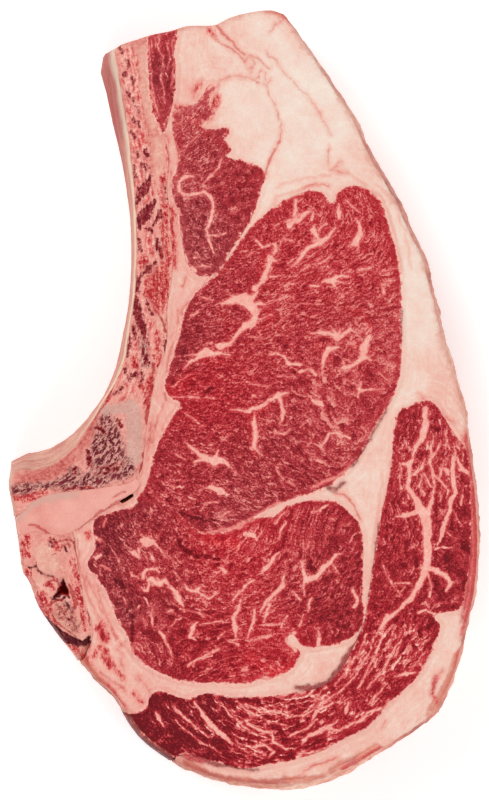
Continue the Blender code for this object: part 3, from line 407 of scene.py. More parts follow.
SHREDS = [
    (2.9, (-48, -76), (-47, -79.5)), (2.1, (-46.6, -85.6), (-45, -88.4)),
    (1.1, (-52.6, -81.6), (-53.4, -85.6), (-51.8, -89)), (0.5, (-51, -90.4), (-47, -96), (-42.4, -101)),
    (0.8, (-48.5, -82), (-46.5, -84)), (1.0, (-52.4, -44.5), (-52.2, -46)),
    (1.4, (-24.8, 64), (-24.3, 58), (-23.9, 50), (-23.6, 44.6)), (1.6, (-22, 97), (-17, 95.8), (-14, 95)),
    (0.8, (-21.5, 84), (-21.3, 79)), (0.8, (-23, 98), (-22, 94)), (0.3, (-37, -98), (-34, -101)),
    (0.3, (-43, -90), (-40, -93)), (1.0, (71.5, -85), (72, -87.5)),
    (0.5, (-25, -114.5), (-20, -117.5), (-14, -120)), (0.3, (-10, 121), (-12, 123.5)),
    (0.4, (-16.8, 103), (-15, 105.5)), (0.6, (-49.6, -84), (-50.4, -85.4)),
    (1.0, (-12, 94), (-10.4, 98), (-9, 101)),
]

# What the bones show. The runs give the way their sponge is drawn out.
RIB_RUN = [
    (1, (-41, 118), (-37, 95), (-33.5, 60), (-34, 35), (-38, 15), (-44, 0), (-50, -12), (-58, -22),
     (-76, -30)),
]
CHINE_RUN = [(1, (-68, -46), (-64, -58), (-60, -70), (-54, -82)), (1, (-56, -50), (-54, -62), (-51, -76))]
MARROW = [
    (1.0, (-41.4, 117), (-40.7, 116)), (0.8, (-39.3, 113.2), (-39, 111.4)), (0.6, (-40, 109.4), (-39.6, 108)),
    (0.7, (-38.9, 103.4), (-38.6, 101.2)), (0.5, (-37.6, 100.8), (-37.4, 99.2)),
    (0.8, (-36.4, 97.8), (-35.7, 96)), (0.8, (-37.3, 94.3), (-36.8, 93)), (0.7, (-35.6, 92.8), (-35.2, 91.2)),
    (1.0, (-38, 89.3), (-36.8, 87.6)), (0.9, (-37.4, 107.4), (-36.9, 106)), (1.0, (-36, 82.6), (-35.2, 81)),
    (0.9, (-33.4, 83.4), (-32.6, 81.8)), (1.1, (-33.6, 78.4), (-32.6, 76.6)), (1.0, (-37, 78), (-36.4, 74.6)),
    (2.6, (-36, 66, 1.2), (-34, 70, 3.0), (-31.6, 74.6, 1.2)),
    (2.4, (-35.2, 57.4, 1.6), (-33.6, 61.6, 3.6), (-30.4, 65.8, 1.4)),
    (1.0, (-28.5, 63.4, 0.5), (-29.1, 61, 1.2), (-30.4, 58.4, 0.6)),
    (1.2, (-29.2, 53.6, 0.8), (-28.7, 51, 1.4), (-27.5, 47.6, 0.7)), (1.3, (-32, 57), (-31, 56.2)),
    (0.8, (-35.4, 54), (-35, 50)), (1.5, (-34, 42, 0.8), (-32, 43.4, 2.0), (-30, 45.6, 1.0)),
    (1.4, (-36, 36.6), (-35.6, 40.6), (-34.6, 41.6, 0.7)),
    (2.8, (-36.2, 34, 1.6), (-36, 29, 2.8), (-34.4, 24.6, 2.4), (-33, 19.6, 1.4)),
    (0.5, (-32.6, 33), (-31, 29)), (1.2, (-39, 22.4), (-38.4, 19), (-39.4, 15)),
    (0.8, (-37, 24.6), (-36.4, 21)), (1.2, (-34.2, 17), (-32.6, 12)), (0.9, (-27, 20), (-26.2, 16)),
    (0.9, (-40, 10), (-38.6, 7), (-36.6, 9)), (0.8, (-34.6, 9.6), (-34.2, 7)),
    (0.8, (-43.6, 1.6), (-41, 4.4)), (0.7, (-26.6, 71), (-26, 67)), (1.2, (-49, -9), (-47, -10.6)),
    (1.0, (-42.4, -7), (-41.2, -9)), (1.4, (-52.4, -17), (-51.6, -22)),
    (0.5, (-50, -24.6), (-46, -24.4), (-43, -23), (-41, -20.4)),
    (0.5, (-49, -22.8), (-46, -22.8), (-43.4, -21)), (0.8, (-60, -30), (-56, -29.4), (-51.4, -29.6)),
    (1.0, (-57, -24.6), (-56.4, -22.2)),
]
ROSY_PARTS = [
    (4.4, (-50, -8), (-54, -15.4), (-59, -20.6), (-66, -24.8), (-74, -26.4)), (3.0, (-57, -83), (-53.4, -84)),
]
SPONGE = [
    (6.0, (-39, 115), (-37, 100), (-36, 88), (-34, 74)), (8.0, (-34, 74), (-33, 60), (-32.5, 42), (-34, 28)),
    (9.0, (-34, 28), (-35.5, 16), (-38, 6)), (2.2, (-25.8, 88), (-25.8, 70), (-26.5, 58)),
    (3.0, (-28, 40), (-28, 25), (-29, 12)), (6.0, (-42, 2), (-40, 4)),
    (3.0, (-60, -74), (-57, -68), (-55, -62), (-55.5, -56)), (2.0, (-66, -66), (-68, -62)),
]
BONE_VEINS = [
    (1.0, (-30.6, 12), (-31.4, 4), (-32.6, -3), (-32.8, -8)), (1.0, (-32.4, -12), (-33.6, -18), (-34.8, -24)),
    (0.5, (-46, 110), (-44.5, 96), (-41.5, 74), (-40, 62)), (0.4, (-27.5, 62), (-27, 56), (-27.8, 47)),
    (0.6, (-29, 44), (-29.6, 30)), (0.5, (-29.4, 30), (-27, 25), (-26, 21)), (0.6, (-26, 40), (-27, 34)),
    (0.7, (-53, -28.8), (-51, -29.4)), (0.5, (-41, 27), (-40.4, 20), (-42, 10), (-46, 0), (-50, -6)),
    (0.4, (-63, -48.1), (-61.5, -46.9), (-59.3, -46.5), (-57, -47.8), (-56.3, -50)),
    (0.9, (-56.8, -45.2), (-56.4, -47.4)), (0.3, (-61.8, -50.2), (-61, -48.4), (-59.2, -47.9), (-58, -49)),
    (0.35, (-64.4, -51.8), (-63.3, -51.5)), (0.6, (-64.1, -58.9), (-62.6, -59.6), (-61.9, -61.9)),
    (0.6, (-66.3, -61.9), (-65.6, -60.9), (-63.7, -60.2), (-63, -60.4)),
    (0.6, (-65.9, -68.9), (-64.1, -67.4), (-61.1, -66.7)),
    (0.7, (-58.9, -61.5), (-57, -64.1), (-56.1, -67.8), (-56.3, -69.2)),
    (0.7, (-58.1, -63.3), (-57.2, -66.3), (-56.8, -69.5)), (0.5, (-53, -65.6), (-52.2, -70), (-51.6, -75)),
    (0.4, (-56.3, -50), (-55, -56), (-54, -63)),
    (0.5, (-64.4, -72.2), (-62.6, -74.8), (-60, -77), (-56.7, -78.9)),
]
SPECKLES = [
    (7.0, (-46, -8, 6), (-46, -14, 10), (-46, -19, 11), (-47, -23, 8)),
    (4.6, (-41, -24), (-50, -26.4), (-60, -27.6)), (3.0, (-57, -23.4), (-59, -26)),
    (2.6, (-38.6, -21.4), (-38, -23.4)), (2.0, (-34, 19), (-33, 12)), (0.5, (-59.4, -67.6), (-58.4, -69.6)),
    (0.4, (-65, -47.2), (-64.4, -48.4)), (2.0, (-60, -27), (-68, -28.8), (-78, -30.6)),
]
GREY_PARTS = [
    (5.6, (-37.2, -4), (-37, -12), (-37.2, -19.4)), (4.0, (-47, -3.6), (-42, -3), (-38, -2)),
    (0.9, (-66, -58), (-62, -59)),
]
RED_PARTS = [
    (2.6, (-78, -32.4), (-72, -32.4), (-67, -31.4)), (2.0, (-68, -65), (-65.4, -70)),
    (2.6, (-73, -46.4), (-73.4, -51.2)), (1.8, (-57, -54), (-56.4, -60), (-54.8, -66)),
    (1.2, (-54.6, -68), (-53.4, -76)), (2.4, (-67.4, -65.6), (-66, -68.4)), (2.0, (-47, 111), (-45.5, 109)),
    (3.6, (-33.8, 46), (-32.4, 44)), (5.0, (-31.2, 42), (-30.4, 31)), (3.0, (-27, 45), (-27.4, 31)),
    (2.0, (-37, 14), (-34, 4)), (2.0, (-36, 55), (-36, 50)), (1.8, (-29, 22), (-29, 12)),
    (0.7, (-25.6, 90), (-25.4, 76)), (2.4, (-27, 74), (-26.8, 60), (-26.4, 48), (-26.8, 40), (-27.8, 33)),
    (2.4, (-73, -57.6), (-72.4, -60.4)), (2.0, (-31.6, 8), (-32.4, -2)), (1.6, (-27, 56), (-26, 47)),
    (2.4, (-57, -83.4), (-54.2, -85.6)), (1.6, (-45, 0.6), (-40, 5.4)), (1.8, (-64.6, -47), (-63, -49)),
    (2.6, (-69, -66.6), (-67.4, -70.6), (-64.8, -75), (-61.6, -78.6), (-58, -81.4)),
    (0.8, (-66, -61.8), (-63.4, -62.8)),
]
PALE_PARTS = [
    (2.8, (-34, 117), (-33, 103), (-30.6, 92)), (3.6, (-28.8, 86), (-28.2, 74), (-28.4, 62)),
    (7.0, (-67, -51), (-65, -54.4)), (1.2, (-50.5, -52.6), (-49.8, -51.6), (-50.8, -51)),
    (3.6, (-28.4, 29), (-28, 22)), (3.4, (-68.4, -60.6), (-64.6, -64)), (2.4, (-55, -77.4), (-53.4, -79)),
    (1.4, (-75, -42), (-73.6, -39)), (0.7, (-57.6, -62.6), (-56.6, -66.4)), (1.6, (-63, -69), (-59, -68.6)),
]
BROWN_PARTS = [
    (6.0, (-79, -31.6), (-73, -30.6), (-66, -29, 4.0), (-60, -27, 2.4)),
    (5.0, (-63.4, -69.6, 3.6), (-60, -71.6, 6.4), (-56, -76, 3.6)), (1.4, (-66, -76), (-62.4, -79.4)),
    (3.0, (-57, -82.4), (-54.6, -83), (-53, -85.4)),
]
# Painted shade: the dark of the hollow at the chine's lower end, of its star-shaped hole and of its cracks,
# with a few small dark spots.
HOLLOW_SHADES = [
    (1.8, (-66.6, -73, 0.8), (-64, -76.2), (-61.9, -78.2, 2.0), (-59.3, -80, 2.8), (-56.7, -81.2, 2.4),
     (-54.4, -81.8, 2.0), (-52.6, -80.8, 1.6), (-51.9, -79, 1.0)),
    (0.5, (-60.4, -59.6), (-60.6, -61, 1.4), (-61, -63.4, 2.8), (-62.4, -65.2, 1.4), (-64, -66.4, 0.5)),
    (1.6, (-60.6, -63.4), (-58.7, -65.7, 0.6)), (0.5, (-64, -66.6), (-61.6, -66.9), (-60, -65.8)),
    (0.15, (-72.2, -55.7), (-71.1, -56.1), (-69.8, -55.6), (-69.8, -54.1)),
    (0.15, (-69.8, -55.6), (-68.9, -57), (-67.8, -57.8), (-65.6, -58.5), (-64.1, -58.9)),
    (0.9, (-60.1, -48.9), (-59.7, -50.3)), (0.7, (-59.6, -67.6), (-58.6, -69.8)),
    (0.5, (-59.8, -73), (-59, -73.2)), (0.5, (-57.2, -74.2), (-56.4, -75)), (0.3, (-65, -47), (-64.2, -47.6)),
    (0.3, (-63.8, -46.4), (-63.4, -47)),
]
PAD_VEINS = [
    (0.7, (-71.8, -41.8), (-69, -42.4), (-67, -43.6), (-65.4, -45.4)),
    (0.5, (-57, -44), (-53, -41.2), (-48, -37), (-42, -33.8)), (0.3, (-44, -32.6), (-40, -30.4)),
]
PAD_GREY = [(2.4, (-75, -39), (-72.4, -35.6), (-68, -33.2), (-60, -31.8), (-57, -31.6))]
PAD_PINK = [(3.4, (-69, -36), (-68, -40)), (2.6, (-66, -43.6), (-60, -44))]

# Where the fat is so thin that the meat under it shows red.
FLUSH = [
    (2.4, (73.6, -12), (75.2, -22, 3.4), (76, -32, 4.4), (76.2, -50, 4.8), (75.4, -62, 4.4), (73.6, -72, 2.6),
     (72.4, -78, 0.8)), (3.0, (-37, -106), (-33, -110)), (0.8, (-31, -99), (-27, -103)),
    (1.2, (71.5, -85), (72.5, -88)), (0.8, (64, -92), (62.4, -98), (65, -103)),
    (1.0, (42, -102), (42.4, -102.6)), (1.6, (-34, -108), (-28, -113)),
    (1.8, (45, -116.4), (40, -119.6), (33, -123.4)), (1.0, (-46, -95), (-40, -102)),
    (1.6, (72, -84.6), (73, -87.4)), (1.0, (-20, -118.4), (-14, -120.6)),
]

# Where the outside's dry rind comes up onto the upper face.
RIND = [
    (2.6, (72, -84), (70.6, -89)), (3.4, (69, -92), (64.6, -100), (61, -104.6)),
    (1.0, (60, -104), (56, -108)), (2.8, (44, -116), (36, -119.6), (29, -123)),
    (1.8, (26, -125), (20, -126.4)), (2.6, (20, -125.6), (5, -128), (-8, -127), (-16, -123.6)),
    (1.6, (-20, -120.8), (-13, -124)), (1.4, (14, 128.6), (8, 130.4)),
    (2.2, (-56, -85), (-52, -90), (-46, -97), (-41, -103)),
    (2.4, (76.8, -22), (77.4, -45), (76.6, -66), (75, -80)), (1.2, (62.4, 44), (68.4, 22), (74.2, 0)),
]
# How light the rind is at some places (x, y, lightness).
RIND_TONES = [
    (60, -104, 0.1), (50, -111, 0.2), (36, -120, 0.0), (25, -124, 0.0), (0, -127, -0.3), (-15, -122, -0.35),
    (62, 42, 0.02), (76, -40, 0.0), (-48, -96, -0.1), (72, -88, -0.1), (12, 130, -0.1),
]
# Where clean fat reaches the edge.
BARE_RIM = [(4.0, (60, -106), (54, -110.6), (47, -115))]

# Each muscle: its marbling, how light, how dull and how rich in fine fat it is, how strong its grain is, and
# how frayed its edge is.
MUSCLES = {
    "eye_muscle": (EYE_FLECKS, EYE_TONES, EYE_DULLNESS, EYE_RICHNESS, 1.0, 1.0),
    "inner_muscle": (INNER_FLECKS, INNER_TONES, INNER_DULLNESS, INNER_RICHNESS, 1.0, 1.0),
    "cap_muscle": (CAP_FLECKS, CAP_TONES, CAP_DULLNESS, CAP_RICHNESS, 1.0, 1.0),
    "tail_muscle": (TAIL_FLECKS, TAIL_TONES, TAIL_DULLNESS, TAIL_RICHNESS, 0.95, 1.5),
    "rib_muscle": (RIB_MUSCLE_FLECKS, RIB_MUSCLE_TONES, RIB_MUSCLE_DULLNESS, RIB_MUSCLE_RICHNESS, 0.8, 1.8),
}


# Noise and distances

# Large odd numbers that scramble a lattice corner's place
SCRAMBLERS = (374761393, 668265263, 1274126177, 974711)


def corner_value(*place):
    """A repeatable value from -1 to 1 at each corner of a lattice, from its x, y, z and a seed."""
    mixed = sum(part * scrambler for part, scrambler in zip(place, SCRAMBLERS))
    mixed = (mixed ^ (mixed >> 13)) * 1103515245 & 0x7FFFFFFF
    mixed = (mixed ^ (mixed >> 16)) * 69069 & 0x7FFFFFFF
    return (mixed ^ (mixed >> 15)).astype(float) / 0x3FFFFFFF - 1


def noise(points, size, seed=0):
    """Smooth noise from -1 to 1 whose bumps are about as wide as size."""
    scaled = points / size
    cell = np.floor(scaled).astype(np.int64)
    part = scaled - cell
    part = part * part * (3 - 2 * part)
    total = 0
    for step in product((0, 1), repeat=3):
        share = 1
        for axis in range(3):
            share = share * (part[:, axis] if step[axis] else 1 - part[:, axis])
        total = total + share * corner_value(*(cell[:, axis] + step[axis] for axis in range(3)), seed)
    return total


def layered_noise(points, size, seed=0, layers=3):
    """Noise with finer and weaker noise on top of it."""
    return sum(noise(points, size / 2 ** i, seed + i) * 0.6 ** i for i in range(layers))


def rise(value, start, end):
    """A smooth step from 0 at start to 1 at end."""
    share = np.clip((value - start) / (end - start), 0, 1)
    return share * share * (3 - 2 * share)


def pieces_of(stroke):
    """A stroke's straight pieces: both ends with their half widths."""
    width, *points = stroke
    ends = [(p[0], p[1], (p[2] if len(p) > 2 else width) / 2) for p in points]
    return zip(ends, ends[1:])


def stroke_distance(spots, strokes, reach=3.0, blend=0.5):
    """How far spots are outside the nearest stroke, below 0 inside one. Strokes that meet melt together."""
    found = np.full(len(spots), reach)
    x, y = spots[:, 0], spots[:, 1]
    for stroke in strokes:
        for (ax, ay, ar), (bx, by, br) in pieces_of(stroke):
            margin = reach + max(ar, br)
            beside = (x > min(ax, bx) - margin) & (x < max(ax, bx) + margin)
            near = np.flatnonzero(beside & (y > min(ay, by) - margin) & (y < max(ay, by) + margin))
            dx, dy = x[near] - ax, y[near] - ay
            ex, ey = bx - ax, by - ay
            share = np.clip((dx * ex + dy * ey) / (ex * ex + ey * ey), 0, 1)
            new = np.hypot(dx - share * ex, dy - share * ey) - ar - share * (br - ar)
            old = found[near]
            mix = np.clip(0.5 + 0.5 * (old - new) / blend, 0, 1)
            found[near] = old + (new - old) * mix - blend * mix * (1 - mix) * (old < reach)
    return found


def tone_at(spots, tones, reach=5.0):
    """A value between given ones: each tone is x, y and the value there."""
    x, y, value = np.array(tones).T
    away = (spots[:, None, 0] - x) ** 2 + (spots[:, None, 1] - y) ** 2
    weight = 1 / (away + reach ** 2) ** 2
    return (weight * value).sum(1) / weight.sum(1)


# Coordinates that follow the marbling

class Flow:
    """Two smooth coordinates of a muscle: one runs along its marbling, the other across it."""

    STEP = 4.0
    DEGREE = 5
    SAMPLES = 1500
    SOFTNESS = 20

    def __init__(self, strokes, ground):
        low, high = ground[:, :2].min(0), ground[:, :2].max(0)
        self.middle = (low + high) / 2
        self.size = (high - low).max() / 2
        xs = np.arange(low[0], high[0] + self.STEP, self.STEP)
        ys = np.arange(low[1], high[1] + self.STEP, self.STEP)
        spots = np.stack(np.meshgrid(xs, ys), -1)
        few = ground[::max(1, len(ground) // self.SAMPLES), :2]
        near = np.linalg.norm(spots[:, :, None] - few, axis=3).min(2) < self.STEP
        ways = self.combed(self.directions(strokes, spots), near)[near]
        spots = spots[near]
        slopes = np.vstack([self.terms(spots, 1), self.terms(spots, 2)])
        self.along = np.linalg.lstsq(slopes, ways.T.ravel(), rcond=None)[0]
        self.across = np.linalg.lstsq(slopes, np.concatenate([-ways[:, 1], ways[:, 0]]), rcond=None)[0]

    def directions(self, strokes, spots):
        """The way the nearest strokes run, at each spot."""
        ends = np.array([a[:2] + b[:2] for stroke in strokes for a, b in pieces_of(stroke)])
        middles = (ends[:, :2] + ends[:, 2:]) / 2
        dx, dy = ends[:, 2] - ends[:, 0], ends[:, 3] - ends[:, 1]
        double = np.arctan2(dy, dx) * 2
        away = ((spots[:, :, None] - middles) ** 2).sum(-1)
        weight = np.hypot(dx, dy) / (away + self.SOFTNESS) ** 2
        angle = np.arctan2((weight * np.sin(double)).sum(-1), (weight * np.cos(double)).sum(-1)) / 2
        return np.stack([np.cos(angle), np.sin(angle)], -1)

    def combed(self, ways, inside):
        """The same directions, turned round where they point against their neighbours."""
        tall, wide = ways.shape[:2]
        done = ~inside
        while not done.all():
            todo = [tuple(np.argwhere(~done)[0])]
            done[todo[0]] = True
            while todo:
                row, column = todo.pop(0)
                for r, c in ((row + 1, column), (row - 1, column), (row, column + 1), (row, column - 1)):
                    if 0 <= r < tall and 0 <= c < wide and not done[r, c]:
                        done[r, c] = True
                        todo.append((r, c))
                        if ways[r, c] @ ways[row, column] < 0:
                            ways[r, c] *= -1
        return ways

    def terms(self, spots, slope=0):
        """A polynomial's terms at some spots, or their slopes along x (1) or y (2)."""
        x, y = ((spots[:, :2] - self.middle) / self.size).T
        found = []
        for i, j in product(range(self.DEGREE + 1), repeat=2):
            if not 0 < i + j <= self.DEGREE:
                continue
            if slope == 0:
                found.append(x ** i * y ** j)
            elif slope == 1:
                found.append(i * x ** max(i - 1, 0) * y ** j / self.size)
            else:
                found.append(j * x ** i * y ** max(j - 1, 0) / self.size)
        return np.stack(found, 1)

    def at(self, spots):
        """Both coordinates of each spot."""
        terms = self.terms(spots)
        return terms @ self.along, terms @ self.across


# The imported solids, and outlines cut from them

def read_solid(node):
    """A node's corners and triangles in the drawing's millimetres, with equal corners made one."""
    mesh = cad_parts[node].data
    corners = np.empty(3 * len(mesh.vertices), np.float32)
    mesh.vertices.foreach_get("co", corners)
    corners = corners.reshape(-1, 3).astype(float) / MM
    corners[:, :2] -= ORIGIN
    faces = np.array([face.vertices[:] for face in mesh.polygons])
    _, first, same = np.unique(corners.round(3), axis=0, return_index=True, return_inverse=True)
    return corners[first], same.ravel()[faces]


def outlines(solid, height):
    """The closed outlines of a solid at a height, each with the material on its left."""
    corners, faces = solid
    above = corners[:, 2] > height
    share = above[faces].sum(1)
    crossing = faces[(share > 0) & (share < 3)].tolist()
    above = above.tolist()
    step = {}
    for a, b, c in crossing:
        for p, q in ((a, b), (b, c), (c, a)):
            if above[p] != above[q]:
                edge = (p, q) if p < q else (q, p)
                if above[q]:
                    upward = edge
                else:
                    downward = edge
        step[downward] = upward
    found = []
    while step:
        chain = [next(iter(step))]
        while chain[-1] in step:
            chain.append(step.pop(chain[-1]))
        edges = np.array(chain[1:])
        p, q = corners[edges[:, 0]], corners[edges[:, 1]]
        part = ((height - p[:, 2]) / (q[:, 2] - p[:, 2]))[:, None]
        found.append((p + part * (q - p))[:, :2])
    return found


def reach_along(loop):
    """How far along a closed loop each of its points is, with the whole length last."""
    edges = np.linalg.norm(np.roll(loop, -1, 0) - loop, axis=1)
    return np.concatenate([[0], np.cumsum(edges)])


def points_at(loop, places):
    """The points at some lengths along a closed loop."""
    reach = reach_along(loop)
    closed = np.vstack([loop, loop[:1]])
    places = np.mod(places, reach[-1])
    return np.stack([np.interp(places, reach, closed[:, axis]) for axis in (0, 1)], 1)


def evenly(loop, spacing):
    """The loop with its points a spacing apart."""
    whole = reach_along(loop)[-1]
    count = max(12, round(whole / spacing))
    return points_at(loop, np.arange(count) * whole / count)


def outward(loop):
    """The way out of the material at each point of a loop."""
    along = np.roll(loop, -1, 0) - np.roll(loop, 1, 0)
    along /= np.linalg.norm(along, axis=1)[:, None] + 1e-9
    return np.stack([along[:, 1], -along[:, 0]], 1)


def slide(ring, loop, softening=8):
    """The ring's points moved to the nearest places on a loop, kept in order and evened out."""
    edge = np.roll(loop, -1, 0) - loop
    size = (edge ** 2).sum(1) + 1e-12
    gap = ring[:, None] - loop
    share = np.clip((gap * edge).sum(2) / size, 0, 1)
    away = ((gap - share[..., None] * edge) ** 2).sum(2)
    best = away.argmin(1)
    reach = reach_along(loop)
    whole = reach[-1]
    place = reach[best] + share[np.arange(len(ring)), best] * np.sqrt(size[best])
    steps = (np.diff(place, append=place[:1]) + whole / 2) % whole - whole / 2
    place = place[0] + np.concatenate([[0], np.cumsum(steps)[:-1]])
    place = (np.maximum.accumulate(place) + np.minimum.accumulate(place[::-1])[::-1]) / 2
    for _ in range(softening):
        before = np.concatenate([[place[-1] - whole], place[:-1]])
        after = np.concatenate([place[1:], [place[0] + whole]])
        place = (before + 2 * place + after) / 4
    return points_at(loop, place)


def area_of(loop):
    """The area inside a loop, less than zero where it bounds a hole."""
    x, y = loop.T
    return (x * np.roll(y, -1) - y * np.roll(x, -1)).sum() / 2


def nearest_loop(ring, loops):
    """The loop that a ring lies on."""
    return min(loops, key=lambda loop: np.linalg.norm(ring[::7, None] - loop[None], axis=2).min(1).mean())


def tree_of(points):
    """A search tree of points in the plane."""
    tree = KDTree(len(points))
    for index, (x, y) in enumerate(points.tolist()):
        tree.insert((x, y, 0), index)
    tree.balance()
    return tree


def rim_tree(loops):
    """A search tree of points close together along the loops."""
    return tree_of(np.vstack([evenly(loop, OUTLINE_SPACING) for loop in loops]))


def distances(tree, points):
    """The distance from each point to the tree's nearest one."""
    return np.array([tree.find((x, y, 0))[2] for x, y in points.tolist()])


def rims_of(node):
    """A piece's outlines just below the upper face."""
    return outlines(SOLIDS[node], THICKNESS - RIM_HEIGHT)


def other_outlines(node):
    """A search tree of the other pieces' outlines just below the upper face."""
    return rim_tree([loop for other in PIECES if other != node for loop in rims_of(other)])


def shore():
    """A search tree of the whole slice's outline: what has no other piece beside it."""
    found = []
    for node in PIECES:
        others = other_outlines(node)
        for loop in rims_of(node):
            spots = evenly(loop, SHORE_SPACING)
            found.append(spots[distances(others, spots) > SEAM_REACH])
    return tree_of(np.vstack(found))


# Meshes of the pieces

def inside(rows, xs, loops):
    """Which points of a grid are inside the loops: rows are its heights, and xs the places along each row."""
    starts = np.vstack(loops)
    ends = np.vstack([np.roll(loop, -1, 0) for loop in loops])
    found = []
    for y, x in zip(rows, xs):
        hit = (starts[:, 1] > y) != (ends[:, 1] > y)
        a, b = starts[hit], ends[hit]
        cross = np.sort(a[:, 0] + (y - a[:, 1]) / (b[:, 1] - a[:, 1]) * (b[:, 0] - a[:, 0]))
        found.append(np.searchsorted(cross, x) % 2 == 1)
    return found


def scattered(loops, spacing, seed):
    """Points spread evenly inside closed loops, a little out of line, and their distance to the loops."""
    rim = np.vstack(loops)
    low, high = rim.min(0), rim.max(0)
    rows = np.arange(low[1] + spacing / 2, high[1], spacing * math.sqrt(3) / 2)
    places = np.arange(low[0], high[0], spacing)
    xs = [places + (spacing / 2 if row % 2 else 0) for row in range(len(rows))]
    kept = inside(rows, xs, loops)
    grid = np.array([(x, y) for y, line, good in zip(rows, xs, kept) for x in line[good]])
    grid += np.random.default_rng(seed).uniform(-JITTER, JITTER, grid.shape) * spacing
    away = distances(rim_tree(loops), grid)
    clear = away > spacing * RIM_CLEARANCE
    return grid[clear], away[clear]


def fill(loops, spacing, seed):
    """Points inside closed loops, their distance to them, and triangles of all points, the loops' first."""
    rim = np.vstack(loops)
    grid, away = scattered(loops, spacing, seed)
    points = np.vstack([rim, grid])
    edges = []
    for loop in loops:
        start = len(edges)
        edges += [(start + i, start + (i + 1) % len(loop)) for i in range(len(loop))]
    made = geometry.delaunay_2d_cdt([Vector(p) for p in points.tolist()], edges, [], 0, 1e-5, False)
    if len(made[0]) != len(points):
        raise ValueError(f"the outline crosses itself: {len(made[0])} points from {len(points)}")
    faces = np.array(made[2])
    a, b, c = (points[faces[:, i]] for i in range(3))
    turn = (b[:, 0] - a[:, 0]) * (c[:, 1] - a[:, 1]) - (b[:, 1] - a[:, 1]) * (c[:, 0] - a[:, 0])
    faces[turn < 0] = faces[turn < 0][:, ::-1]
    at_rim = (faces < len(rim)).all(1)
    middles = (a + b + c)[at_rim] / 3
    good = np.array([inside([y], [np.array([x])], loops)[0][0] for x, y in middles])
    keep = np.ones(len(faces), bool)
    keep[np.flatnonzero(at_rim)[~good]] = False
    return grid, away, faces[keep]


def heights_on(tree, points, side, default):
    """The height of the solid's surface at each point, seen from above (side 1) or from below (side -1)."""
    start = ABOVE if side > 0 else BELOW
    found = []
    for x, y in points.tolist():
        hit = tree.ray_cast(Vector((x, y, start)), Vector((0, 0, -side)))[0]
        found.append(default if hit is None else hit.z)
    return np.array(found)


